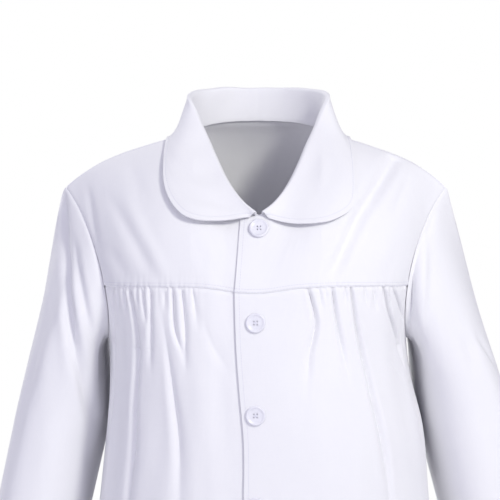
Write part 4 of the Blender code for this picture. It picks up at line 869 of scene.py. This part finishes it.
# The creases that show in front, as straight lines across the picture; a depth below zero is a ridge
SLEEVE_PULLS = {
    -1: (
        dict(x0=-0.2030, z0=-0.040, x1=-0.1860, z1=-0.245, width=0.0062, depth=0.0066),
        dict(x0=-0.1945, z0=-0.160, x1=-0.1680, z1=-0.310, width=0.0072, depth=0.0060),
        dict(x0=-0.1915, z0=-0.095, x1=-0.1640, z1=-0.226, width=0.0058, depth=0.0036),
        dict(x0=-0.1740, z0=-0.300, x1=-0.1660, z1=-0.480, width=0.0090, depth=0.0030),
        dict(x0=-0.2130, z0=-0.100, x1=-0.2180, z1=-0.330, width=0.0110, depth=-0.0012),
    ),
    1: (
        dict(x0=0.1630, z0=-0.075, x1=0.1525, z1=-0.215, width=0.0062, depth=0.0090),
        dict(x0=0.1730, z0=-0.090, x1=0.1680, z1=-0.210, width=0.0060, depth=-0.0030),
        dict(x0=0.1840, z0=-0.060, x1=0.1640, z1=-0.140, width=0.0085, depth=0.0022),
        dict(x0=0.2140, z0=-0.205, x1=0.2270, z1=-0.250, width=0.0080, depth=0.0016),
        dict(x0=0.1560, z0=-0.160, x1=0.1760, z1=-0.250, width=0.0060, depth=0.0020),
    ),
}
SLEEVE_TURN = 14.0
SLEEVE_SQUARENESS = 2.5
SLEEVE_LEAVE = (
    dict(at=0.00, outward=0.042, fore=0.000, down=-0.012, land=0.070),
    dict(at=0.20, outward=0.048, fore=0.010, down=0.008, land=0.110),
    dict(at=0.45, outward=0.062, fore=0.020, down=0.050, land=0.150),
    dict(at=0.75, outward=0.060, fore=0.026, down=0.080, land=0.200),
    dict(at=1.00, outward=0.028, fore=0.000, down=0.100, land=0.240),
)
# Creases: place round the sleeve in degrees (0 at the body, 90 in front, 180 outside) at three levels
SLEEVE_FOLDS = {
    -1: (
        dict(turn=(8.0, 22.0, 40.0), z=(-0.250, -0.200, -0.150), width=9.0, depth=0.0030, top=-0.110, end=-0.300),
        dict(turn=(118.0, 122.0, 130.0), z=(-0.330, -0.230, -0.150), width=13.0, depth=0.0016, top=-0.100, end=-0.380),
        dict(turn=(262.0, 244.0, 230.0), z=(-0.500, -0.250, -0.080), width=13.0, depth=0.0028, top=-0.050, end=-0.640),
        dict(turn=(320.0, 310.0, 300.0), z=(-0.500, -0.330, -0.200), width=11.0, depth=0.0024, top=-0.160, end=-0.560),
        dict(turn=(80.0, 110.0, 150.0), z=(-0.480, -0.440, -0.400), width=10.0, depth=0.0030, top=-0.370, end=-0.520),
        dict(turn=(40.0, 70.0, 100.0), z=(-0.520, -0.480, -0.450), width=9.0, depth=0.0026, top=-0.430, end=-0.560),
    ),
    1: (
        dict(turn=(16.0, 26.0, 48.0), z=(-0.190, -0.150, -0.100), width=10.0, depth=0.0026, top=-0.080, end=-0.260),
        dict(turn=(150.0, 138.0, 126.0), z=(-0.250, -0.235, -0.215), width=9.0, depth=0.0022, top=-0.200, end=-0.280),
        dict(turn=(96.0, 100.0, 104.0), z=(-0.350, -0.240, -0.170), width=14.0, depth=0.0014, top=-0.140, end=-0.420),
        dict(turn=(260.0, 244.0, 230.0), z=(-0.500, -0.250, -0.080), width=13.0, depth=0.0028, top=-0.050, end=-0.640),
        dict(turn=(318.0, 308.0, 300.0), z=(-0.500, -0.330, -0.200), width=11.0, depth=0.0024, top=-0.160, end=-0.560),
        dict(turn=(76.0, 108.0, 146.0), z=(-0.500, -0.460, -0.410), width=10.0, depth=0.0030, top=-0.380, end=-0.540),
        dict(turn=(36.0, 64.0, 92.0), z=(-0.540, -0.500, -0.470), width=9.0, depth=0.0026, top=-0.450, end=-0.580),
    ),
}


def even_line(points, count):
    """A line of points walked at equal steps."""
    walked = walked_length(points)
    at = np.linspace(0.0, walked[-1], count + 1)
    return np.stack([np.interp(at, walked, points[:, axis]) for axis in range(3)], axis=-1)


def sleeve_base(side):
    """Sleeve of one side before its creases, and the turn of each column round it."""
    arm_rows = 53
    lower_front = front_points[side][:arm_rows, -1][::-1]
    upper_front = yoke_points[side][:, 0][::-1]
    behind = back_points[:71 + len(BACK_ARM_STEPS), 0 if side > 0 else -1]
    ahead_line = even_line(np.concatenate([lower_front, upper_front[1:]]), 64)
    behind_line = even_line(behind, 60)
    loop = np.concatenate([ahead_line[:-1], behind_line[:-1]])
    turn = np.concatenate([np.linspace(0.0, 180.0, 65)[:-1], np.linspace(180.0, 360.0, 61)[:-1]])
    lean = math.radians(SLEEVE_TURN)
    inward = np.array([-side * math.cos(lean), -math.sin(lean), 0.0])
    ahead = np.array([side * math.sin(lean), -math.cos(lean), 0.0])
    table = SLEEVE_RINGS[side]

    def ring(level):
        x, y, across, deep = (
            float(smooth(column_of(table, "level"), column_of(table, key), level))
            for key in ("x", "y", "across", "deep"))
        around = np.radians(turn)[:, None]
        power = 2 / SLEEVE_SQUARENESS
        cosine = np.sign(np.cos(around)) * np.abs(np.cos(around)) ** power
        sine = np.sign(np.sin(around)) * np.abs(np.sin(around)) ** power
        return np.array([x, y, level]) + across * cosine * inward + deep * sine * ahead

    first = ring(-0.300)
    nearest, second = table[-1], table[-2]
    axis_down = unit(np.array([second[key] - nearest[key] for key in ("x", "y", "level")]))
    to_tip = 1 - np.abs(turn - 180.0) / 180.0
    fore_sign = np.where(turn <= 180.0, -1.0, 1.0)
    outward, fore, fall, land = (
        smooth(column_of(SLEEVE_LEAVE, "at"), column_of(SLEEVE_LEAVE, key), to_tip)
        for key in ("outward", "fore", "down", "land"))
    upper = np.zeros((75, len(loop), 3))
    for index in range(len(loop)):
        leave = np.array([side * outward[index], fore_sign[index] * fore[index], -fall[index]])
        arrive = axis_down * land[index]
        upper[:, index] = hermite(loop[index], leave, first[index], arrive, np.linspace(0.0, 1.0, 75))
    lower = [ring(level) for level in np.linspace(-0.300, -0.622, 76)[1:]]
    return np.concatenate([upper, np.array(lower)]), turn


def creases(folds, turn, points):
    """Height from the creases of a sleeve."""
    height = np.zeros(points.shape[:2])
    level = points[..., 2]
    for fold in folds:
        place = smooth(fold["z"], fold["turn"], level)
        away = (turn[None, :] - place + 180.0) % 360.0 - 180.0
        span = fold["top"] - fold["end"]
        share = (fold["top"] - level) / span
        strength = ease(0.0, 0.30, share) * (1 - ease(0.55, 1.0, share))
        q = away / fold["width"]
        height -= fold["depth"] * strength * (1 - 0.9 * q ** 2) * np.exp(-q ** 2)
    return height


sleeve_surface = {}
sleeve_normals = {}
sleeve_sewn = {}
for side, word in ((1, "left"), (-1, "right")):
    points, turn = sleeve_base(side)
    normals = sheet_normals(points, closed=True)
    down = walked_length(points)
    around = np.broadcast_to(turn * 0.0011, points.shape[:2])
    height = creases(SLEEVE_FOLDS[side], turn, points)
    height += uneven(np.sin(np.radians(turn))[None, :] * 0.08 + 0 * around, points[..., 2], 61 + side, 0.07, 0.0006)
    height *= ease(0.0, 0.012, down)
    height += pulls(SLEEVE_PULLS[side], points) * ease(0.10, -0.35, normals[..., 1]) * ease(0.0, 0.006, down)
    cap = ease(40.0, 90.0, turn) * (1 - ease(250.0, 310.0, turn))
    height += cap * 0.0002 * ease(0.0, 0.004, down) * (1 - ease(0.007, 0.018, down))
    height += seam_dip(down)
    sleeve_sewn[side], sleeve_surface[side] = sewn_panel(
        "sleeve_%s_panel" % word, points, normals, height, cotton("cotton_sleeve_" + word, WHITE), CLOTH,
        closed=True)
    sleeve_normals[side] = normals
    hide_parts("sleeve_" + word)

# Collar. Two layers of the weave with a stiff layer between, turned, pressed and sewn round 5 mm inside the
# edge. It stands at the neck seam, rolls over and lies on the yokes and the back in two round leaves.
COLLAR_CLOTH = 0.0017
COLLAR_LIFT = 0.0010
# How far the edges of the leaves stand off the cloth, from the middle front to the middle back
LEAF_LIFT = {
    1: (0.0012, 0.0028, 0.0046, 0.0056, 0.0054, 0.0042, 0.0030, 0.0024,
        0.0020, 0.0020, 0.0018, 0.0016, 0.0014, 0.0014, 0.0014, 0.0014),
    -1: (0.0016, 0.0042, 0.0068, 0.0078, 0.0074, 0.0062, 0.0050, 0.0042,
         0.0034, 0.0026, 0.0018, 0.0016, 0.0014, 0.0014, 0.0014, 0.0014),
}
# The leaf of the wearer's right is worn a little higher at the front: its edge moved across and up
LEAF_SHIFT = (
    dict(at=0, across=0.0000, up=0.0010),
    dict(at=1, across=0.0000, up=0.0027),
    dict(at=2, across=0.0000, up=0.0042),
    dict(at=3, across=0.0000, up=0.0036),
    dict(at=4, across=0.0000, up=0.0014),
    dict(at=5, across=-0.0020, up=0.0040),
    dict(at=6, across=-0.0040, up=0.0020),
    dict(at=7, across=-0.0012, up=0.0000),
    dict(at=8, across=0.0000, up=0.0000),
    dict(at=15, across=0.0000, up=0.0000),
)
STAND_CLEARANCE = 0.0009
STAND_DROP = 0.0016
COLLAR_STATIONS = 110
STAND_STEPS = 8
ROLL_STEPS = 10
FALL_STEPS = 34
COLLAR = (
    dict(neck=(0.0030, -0.0905, -0.0800), fold=(0.0050, -0.0970, -0.0782),
         edge=(0.0110, -0.0990, -0.0815), roll=0.0016),
    dict(neck=(0.0110, -0.0872, -0.0765), fold=(0.0125, -0.0922, -0.0727),
         edge=(0.0190, -0.1010, -0.0832), roll=0.0018),
    dict(neck=(0.0200, -0.0812, -0.0710), fold=(0.0205, -0.0842, -0.0642),
         edge=(0.0310, -0.1020, -0.0865), roll=0.0021),
    dict(neck=(0.0285, -0.0730, -0.0635), fold=(0.0285, -0.0732, -0.0537),
         edge=(0.0470, -0.1010, -0.0905), roll=0.0025),
    dict(neck=(0.0360, -0.0620, -0.0545), fold=(0.0365, -0.0604, -0.0408),
         edge=(0.0650, -0.0960, -0.0920), roll=0.0028),
    dict(neck=(0.0435, -0.0485, -0.0435), fold=(0.0435, -0.0465, -0.0269),
         edge=(0.0810, -0.0880, -0.0875), roll=0.0030),
    dict(neck=(0.0505, -0.0340, -0.0315), fold=(0.0505, -0.0325, -0.0120),
         edge=(0.0920, -0.0760, -0.0740), roll=0.0030),
    dict(neck=(0.0570, -0.0210, -0.0190), fold=(0.0575, -0.0205, 0.0020),
         edge=(0.0945, -0.0600, -0.0580), roll=0.0030),
    dict(neck=(0.0620, -0.0100, -0.0080), fold=(0.0645, -0.0095, 0.0175),
         edge=(0.0940, -0.0380, -0.0370), roll=0.0030),
    dict(neck=(0.0650, -0.0010, -0.0010), fold=(0.0720, 0.0030, 0.0330),
         edge=(0.0930, -0.0140, -0.0170), roll=0.0030),
    dict(neck=(0.0640, 0.0130, 0.0020), fold=(0.0710, 0.0200, 0.0390),
         edge=(0.0920, 0.0120, -0.0060), roll=0.0030),
    dict(neck=(0.0580, 0.0290, 0.0048), fold=(0.0620, 0.0380, 0.0415),
         edge=(0.0880, 0.0400, -0.0055), roll=0.0030),
    dict(neck=(0.0450, 0.0452, 0.0074), fold=(0.0480, 0.0530, 0.0425),
         edge=(0.0700, 0.0620, -0.0095), roll=0.0030),
    dict(neck=(0.0290, 0.0562, 0.0092), fold=(0.0310, 0.0635, 0.0430),
         edge=(0.0460, 0.0760, -0.0135), roll=0.0030),
    dict(neck=(0.0140, 0.0614, 0.0098), fold=(0.0150, 0.0680, 0.0430),
         edge=(0.0220, 0.0830, -0.0155), roll=0.0030),
    dict(neck=(0.0000, 0.0630, 0.0100), fold=(0.0000, 0.0695, 0.0430),
         edge=(0.0000, 0.0845, -0.0160), roll=0.0030),
)


def collar_section(neck, fold, edge, roll, lift, body):
    """Middle line of the collar cloth at one place: up the stand, over the roll and down the fall."""
    up = unit(fold - neck)
    out = edge - fold
    out = unit(out - np.dot(out, up) * up)
    spot, normal = body.find_nearest(Vector(edge))[:2]
    normal = np.array(normal)
    edge = np.array(spot) + normal * (lift + 0.5 * COLLAR_CLOTH)
    centre = fold - roll * up
    fall = edge - centre
    slope = math.atan2(-np.dot(fall, up), np.dot(fall, out))
    finish = min(math.pi, 0.5 * math.pi + max(slope, 0.35) + 0.12)
    stand_top = centre - roll * out
    line = [neck + (stand_top - neck) * step / STAND_STEPS for step in range(STAND_STEPS)]
    for step in range(ROLL_STEPS + 1):
        turn = finish * step / ROLL_STEPS
        line.append(centre - roll * math.cos(turn) * out + roll * math.sin(turn) * up)
    start = line[-1]
    reach = np.linalg.norm(edge - start)
    away = edge - fold
    land = unit(away - np.dot(away, normal) * normal)
    first = start + (math.sin(finish) * out + math.cos(finish) * up) * reach * 0.30
    second = edge - land * reach * 0.36
    for step in range(1, FALL_STEPS + 1):
        t = step / FALL_STEPS
        near_fold = (1 - t) ** 3 * start + 3 * t * (1 - t) ** 2 * first
        line.append(near_fold + 3 * t ** 2 * (1 - t) * second + t ** 3 * edge)
    return line


def collar_base(body):
    """Collar as rows from the wearer's left front round the back to the right front."""
    places = np.arange(len(COLLAR), dtype=float)
    at = np.linspace(0.0, len(COLLAR) - 1.0, COLLAR_STATIONS)
    half = {}
    for key in ("neck", "fold", "edge"):
        rows = np.array([row[key] for row in COLLAR])
        half[key] = np.stack([smooth(places, rows[:, axis], at) for axis in range(3)], axis=-1)
    roll = smooth(places, column_of(COLLAR, "roll"), at)
    across = smooth(column_of(LEAF_SHIFT, "at"), column_of(LEAF_SHIFT, "across"), at)
    raise_by = smooth(column_of(LEAF_SHIFT, "at"), column_of(LEAF_SHIFT, "up"), at)
    grid = []
    for side in (1, -1):
        order = range(COLLAR_STATIONS) if side > 0 else range(COLLAR_STATIONS - 2, -1, -1)
        lift = smooth(places, LEAF_LIFT[side], at)
        for index in order:
            neck, fold, edge = (half[key][index].copy() for key in ("neck", "fold", "edge"))
            if side < 0:
                edge += (across[index], 0.0, raise_by[index])
            for point in (neck, fold, edge):
                point[0] = point[0] * side + NECK_SHIFT
            spot, normal = body.find_nearest(Vector(neck))[:2]
            neck = np.array(spot) + np.array(normal) * STAND_CLEARANCE
            neck -= unit(fold - neck) * STAND_DROP
            grid.append(collar_section(neck, fold, edge, roll[index], lift[index], body))
    grid = np.array(grid)
    clearance = COLLAR_LIFT + 0.5 * COLLAR_CLOTH
    for _ in range(12):
        for part in (grid[:26], grid[-26:]):
            part[1:-1] = 0.5 * part[1:-1] + 0.25 * (part[:-2] + part[2:])
    for turn in range(4):
        for row in range(len(grid)):
            for column in range(STAND_STEPS + ROLL_STEPS, grid.shape[1]):
                spot, normal = body.find_nearest(Vector(grid[row, column]))[:2]
                away = Vector(grid[row, column]) - spot
                rise = away.dot(normal)
                if rise < clearance and (away - rise * normal).length < 0.0007:
                    grid[row, column] += np.array(normal) * (clearance - rise)
        for _ in range(20 if turn < 3 else 2):
            fall = grid[:, STAND_STEPS + ROLL_STEPS - 2:]
            around = fall[:-2, 1:-1] + fall[2:, 1:-1] + fall[1:-1, :-2] + fall[1:-1, 2:]
            fall[1:-1, 1:-1] = 0.5 * fall[1:-1, 1:-1] + 0.125 * around
        for line, passes in ((grid[60:-60, -1], 24), (grid[8:-8, -1], 5)):
            for _ in range(passes if turn < 3 else 0):
                line[1:-1] = 0.5 * line[1:-1] + 0.25 * (line[:-2] + line[2:])
    return grid


body_tree = search_tree([
    (yoke_cover[1], yoke_normals[1]),
    (yoke_cover[-1], yoke_normals[-1]),
    (back_surface + back_normals * 0.5 * CLOTH, back_normals),
])
collar_points = collar_base(body_tree)
collar_normals = sheet_normals(collar_points, centred=False)
along_fall = walked_length(collar_points, axis=1)
from_edge = along_fall[:, -1:] - along_fall
round_neck = walked_length(collar_points, axis=0)
if np.sum(collar_normals[:, -1, 2]) < 0:
    collar_normals = -collar_normals
groove = -0.00035 * np.exp(-((from_edge - 0.0055) / 0.0012) ** 2)
ripple = pucker(round_neck * 0.7 - 0.25, 71, 0.0105, 0.00016) * np.exp(-((from_edge - 0.0050) / 0.0035) ** 2)
sway = uneven(round_neck, from_edge, 72, 0.06, 0.00035) * ease(0.004, 0.02, from_edge)
collar_height = groove + ripple + sway * ease(0.010, 0.030, along_fall)
collar_sewn, collar_surface = sewn_panel(
    "collar_leaves", collar_points, collar_normals, collar_height, cotton("cotton_collar", WHITE),
    COLLAR_CLOTH, edge_round=0.0007)
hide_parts("collar")

# Stitching. Rows of white polyester thread: twice along the yoke seam, once beside the lap edge, the
# shoulders and round the collar, and once above the hem and the cuffs.
STITCH_PITCH = 0.0029
STITCH_LENGTH = 0.0023
STITCH_WIDTH = 0.00046


def beside(points, normals, edge, offset):
    """The line on a panel that runs beside one of its edges, and the directions square to the cloth."""
    if edge in ("first", "last"):
        points, normals = np.swapaxes(points, 0, 1), np.swapaxes(normals, 0, 1)
    if edge in ("bottom", "last"):
        points, normals = points[::-1], normals[::-1]
    walked = walked_length(points)
    line = []
    square = []
    for column in range(points.shape[1]):
        line.append([np.interp(offset, walked[:, column], points[:, column, axis]) for axis in range(3)])
        square.append([np.interp(offset, walked[:, column], normals[:, column, axis]) for axis in range(3)])
    return np.array(line), unit(np.array(square))


def thread_with_painted_shade(name):
    """White polyester thread with a soft gloss and a fine twist, coloured grey lavender, darker than the cloth, as
    painted shade so that its rows show as dark dots.
    """
    material = bpy.data.materials.new(name)
    material.use_nodes = True
    shader = material.node_tree.nodes["Principled BSDF"]
    start = Shade(material.node_tree)
    place = start.node("ShaderNodeTexCoord", {}, {}, "Object")
    grain = start.node("ShaderNodeTexNoise", {}, {"Vector": place, "Scale": 2500.0, "Detail": 1.0}, "Fac")
    # Painted shade: the thread is coloured grey lavender, well below the white of the cloth, so each stitch reads as a
    # dark dot.
    tone = start.node("ShaderNodeValToRGB", {"stops": (
        (0.3, (0.66, 0.66, 0.75, 1.0)), (0.7, (0.78, 0.78, 0.86, 1.0)))}, {"Fac": grain})
    bump = start.node("ShaderNodeBump", {}, {"Height": grain * 0.00008, "Strength": 1.0, "Distance": 1.0})
    material.node_tree.links.new(tone.socket, shader.inputs["Base Color"])
    material.node_tree.links.new(bump.socket, shader.inputs["Normal"])
    shader.inputs["Roughness"].default_value = 0.55
    return material


def add_stitch(shape, place, ahead, square, length, width):
    """One stitch: a short bead of thread along ahead, half sunk in the cloth."""
    ahead = unit(ahead)
    aside = unit(np.cross(square, ahead))
    turn = Matrix((aside, np.cross(ahead, aside), ahead)).transposed().to_4x4()
    size = Matrix.Diagonal((0.5 * width, 0.5 * width, 0.5 * length, 1.0))
    bmesh.ops.create_uvsphere(
        shape, u_segments=6, v_segments=4, radius=1.0, matrix=Matrix.Translation(Vector(place)) @ turn @ size)


def finished(name, shape, material):
    """A named piece from a finished mesh, smooth shaded and riding on the dress."""
    for face in shape.faces:
        face.smooth = True
    mesh = bpy.data.meshes.new(name)
    shape.to_mesh(mesh)
    shape.free()
    mesh.materials.append(material)
    piece = bpy.data.objects.new(name, mesh)
    bpy.context.scene.collection.objects.link(piece)
    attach(piece, "root")
    return piece


def joined(shape, run):
    """A finished run of stitches added to the rest, and an empty run to go on with."""
    mesh = bpy.data.meshes.new("run")
    run.to_mesh(mesh)
    run.free()
    shape.from_mesh(mesh)
    bpy.data.meshes.remove(mesh)
    return bmesh.new()


def sew(name, lines, rise):
    """Rows of stitches along lines on the cloth, made a few dozen at a time."""
    shape = bmesh.new()
    run = bmesh.new()
    made = 0
    for line, square in lines:
        walked = walked_length(line)
        at = np.arange(0.5 * STITCH_PITCH, walked[-1], STITCH_PITCH)
        places = np.stack([np.interp(at, walked, line[:, axis]) for axis in range(3)], axis=-1)
        upright = unit(np.stack([np.interp(at, walked, square[:, axis]) for axis in range(3)], axis=-1))
        ahead = np.gradient(places, axis=0)
        for place, step, up in zip(places, ahead, upright):
            add_stitch(run, place + up * rise, step, up, STITCH_LENGTH, STITCH_WIDTH)
            made += 1
            if made % 24 == 0:
                run = joined(shape, run)
    joined(shape, run).free()
    return finished(name, shape, thread_with_painted_shade(name + "_thread"))


on_cloth = 0.5 * CLOTH + 0.00004
for side, word in ((1, "left"), (-1, "right")):
    rows = [beside(yoke_surface[side], yoke_normals[side], "bottom", offset) for offset in (0.0014, 0.0042)]
    shoulder, square = beside(yoke_surface[side], yoke_normals[side], "top", 0.0020)
    rows.append((shoulder[:YOKE_SHOULDER_COLUMNS], square[:YOKE_SHOULDER_COLUMNS]))
    if side > 0:
        rows.append(beside(yoke_surface[side], yoke_normals[side], "last", 0.0045))
    sew("yoke_%s_stitches" % word, rows, on_cloth)
    rows = [beside(front_surface[side], front_normals[side], "bottom", 0.020)]
    if side > 0:
        rows.append(beside(front_surface[side][3:], front_normals[side][3:], "first", 0.0045))
    sew("front_%s_stitches" % word, rows, on_cloth)
    cuff, square = beside(sleeve_surface[side], sleeve_normals[side], "bottom", 0.020)
    cuff = np.concatenate([cuff, cuff[:1]])
    sew("sleeve_%s_stitches" % word, [(cuff, np.concatenate([square, square[:1]]))], on_cloth)
sew("back_stitches", [beside(back_surface, back_normals, "bottom", 0.020)], on_cloth)
sew("collar_stitches", [beside(collar_surface, collar_normals, "last", 0.0055)], 0.5 * COLLAR_CLOTH + 0.00004)

# Buttons. Eight white moulded buttons, 20 mm across, with a raised rim and four holes, sewn crosswise
# with thread that also forms a short shank to the lap.
BUTTON_FIRST = -0.0945
BUTTON_SPACING = 0.0915
BUTTON_X_FIRST = 0.0030
BUTTON_X = -0.0005
BUTTON_RADIUS = 0.0100
HOLE_PLACE = 0.0016
HOLE_RADIUS = 0.0008
# Outline of a button from its back to the middle of its face: radius and height
BUTTON_OUTLINE = (
    (0.0000, 0.0000), (0.0088, 0.0000), (0.0094, 0.0002), (0.0099, 0.0007), (0.0100, 0.0012), (0.0098, 0.0019),
    (0.0093, 0.0024), (0.0087, 0.0026), (0.0081, 0.0025), (0.0075, 0.0021), (0.0070, 0.0018), (0.0062, 0.00165),
    (0.0040, 0.00155), (0.0000, 0.0015),
)


def button_mesh():
    """One button with its holes, at the origin, face up."""
    shape = bmesh.new()
    outline = [shape.verts.new((radius, 0.0, height)) for radius, height in BUTTON_OUTLINE]
    edges = [shape.edges.new(pair) for pair in zip(outline[:-1], outline[1:])]
    bmesh.ops.spin(shape, geom=outline + edges, axis=(0.0, 0.0, 1.0), cent=(0.0, 0.0, 0.0),
                   angle=2 * math.pi, steps=48, use_merge=True)
    bmesh.ops.remove_doubles(shape, verts=shape.verts, dist=0.000002)
    bmesh.ops.recalc_face_normals(shape, faces=shape.faces)
    mesh = bpy.data.meshes.new("button_blank")
    shape.to_mesh(mesh)
    shape.free()
    blank = bpy.data.objects.new("button_blank", mesh)
    drill = bmesh.new()
    for x in (-HOLE_PLACE, HOLE_PLACE):
        for y in (-HOLE_PLACE, HOLE_PLACE):
            bmesh.ops.create_cone(drill, cap_ends=True, segments=20, radius1=HOLE_RADIUS, radius2=HOLE_RADIUS,
                                  depth=0.006, matrix=Matrix.Translation((x, y, 0.001)))
    drill_mesh = bpy.data.meshes.new("button_drill")
    drill.to_mesh(drill_mesh)
    drill.free()
    cutter = bpy.data.objects.new("button_drill", drill_mesh)
    for thing in (blank, cutter):
        bpy.context.scene.collection.objects.link(thing)
    cut = blank.modifiers.new("holes", "BOOLEAN")
    cut.operation = "DIFFERENCE"
    cut.object = cutter
    cut.solver = "EXACT"
    bpy.context.view_layer.update()
    holed = bpy.data.meshes.new_from_object(blank.evaluated_get(bpy.context.evaluated_depsgraph_get()))
    for thing in (blank, cutter):
        bpy.data.objects.remove(thing, do_unlink=True)
    return holed


def button_material(name):
    """White moulded polyester with a soft polish and a faint cloudy depth."""
    material = bpy.data.materials.new(name)
    material.use_nodes = True
    shader = material.node_tree.nodes["Principled BSDF"]
    start = Shade(material.node_tree)
    place = start.node("ShaderNodeTexCoord", {}, {}, "Object")
    cloud = start.node("ShaderNodeTexNoise", {}, {"Vector": place, "Scale": 260.0, "Detail": 3.0}, "Fac")
    speck = start.node("ShaderNodeTexNoise", {}, {"Vector": place, "Scale": 3000.0, "Detail": 1.0}, "Fac")
    tone = start.node("ShaderNodeValToRGB", {"stops": (
        (0.3, (0.86, 0.86, 0.91, 1.0)), (0.7, (0.80, 0.80, 0.86, 1.0)))}, {"Fac": cloud})
    bump = start.node("ShaderNodeBump", {}, {"Height": speck * 0.00001, "Strength": 1.0, "Distance": 1.0})
    material.node_tree.links.new(tone.socket, shader.inputs["Base Color"])
    material.node_tree.links.new((cloud * 0.12 + 0.22).socket, shader.inputs["Roughness"])
    material.node_tree.links.new(bump.socket, shader.inputs["Normal"])
    shader.inputs["Coat Weight"].default_value = 0.25
    return material


button_plastic = button_material("button_plastic")
# The button thread carries the same painted shade as the stitching: it is coloured darker than white thread.
button_thread = thread_with_painted_shade("button_thread")
one_button = button_mesh()
lap_tree = search_tree([
    (yoke_surface[1] + yoke_normals[1] * 0.5 * CLOTH, yoke_normals[1]),
    (front_surface[1][3:] + front_normals[1][3:] * 0.5 * CLOTH, front_normals[1][3:]),
])
for number in range(8):
    x = BUTTON_X_FIRST if number == 0 else BUTTON_X
    z = BUTTON_FIRST - number * BUTTON_SPACING
    spots = []
    for turn in np.linspace(0.0, 2 * math.pi, 12, endpoint=False):
        start = Vector((x + BUTTON_RADIUS * math.cos(turn), -1.0, z + BUTTON_RADIUS * math.sin(turn)))
        spots.append(np.array(lap_tree.ray_cast(start, Vector((0.0, 1.0, 0.0)))[0]))
    spots = np.array(spots)
    middle = spots.mean(axis=0)
    axes = np.linalg.svd(spots - middle)[2]
    outward = axes[2] if axes[2][1] < 0 else -axes[2]
    right = unit(np.cross(np.array([0.0, 0.0, 1.0]), outward))
    upward = np.cross(outward, right)
    lift = float(np.max((spots - middle) @ outward)) + 0.0003
    place = Matrix.Translation(Vector(middle + outward * lift)) @ Matrix((right, upward, outward)).transposed().to_4x4()
    shape = bmesh.new()
    shape.from_mesh(one_button)
    bmesh.ops.transform(shape, matrix=place, verts=shape.verts)
    piece = finished("sewn_button_%d" % (number + 1), shape, button_plastic)
    crease = piece.modifiers.new("edges", "EDGE_SPLIT")
    crease.split_angle = math.radians(50.0)
    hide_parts("button_%d" % (number + 1))
    shape = bmesh.new()
    for slant in (1.0, -1.0):
        for aside in (-0.0003, 0.0, 0.0003):
            ahead = unit(right + slant * upward)
            sideways = np.cross(outward, ahead)
            centre = middle + outward * (lift + 0.0015) + sideways * aside
            add_stitch(shape, centre, ahead, outward, 2.9 * HOLE_PLACE, 0.0005)
    bmesh.ops.create_cone(shape, cap_ends=True, segments=16, radius1=0.0019, radius2=0.0017, depth=0.0024,
                          matrix=place @ Matrix.Translation((0.0, 0.0, -0.0009)))
    finished("button_%d_thread" % (number + 1), shape, button_thread)
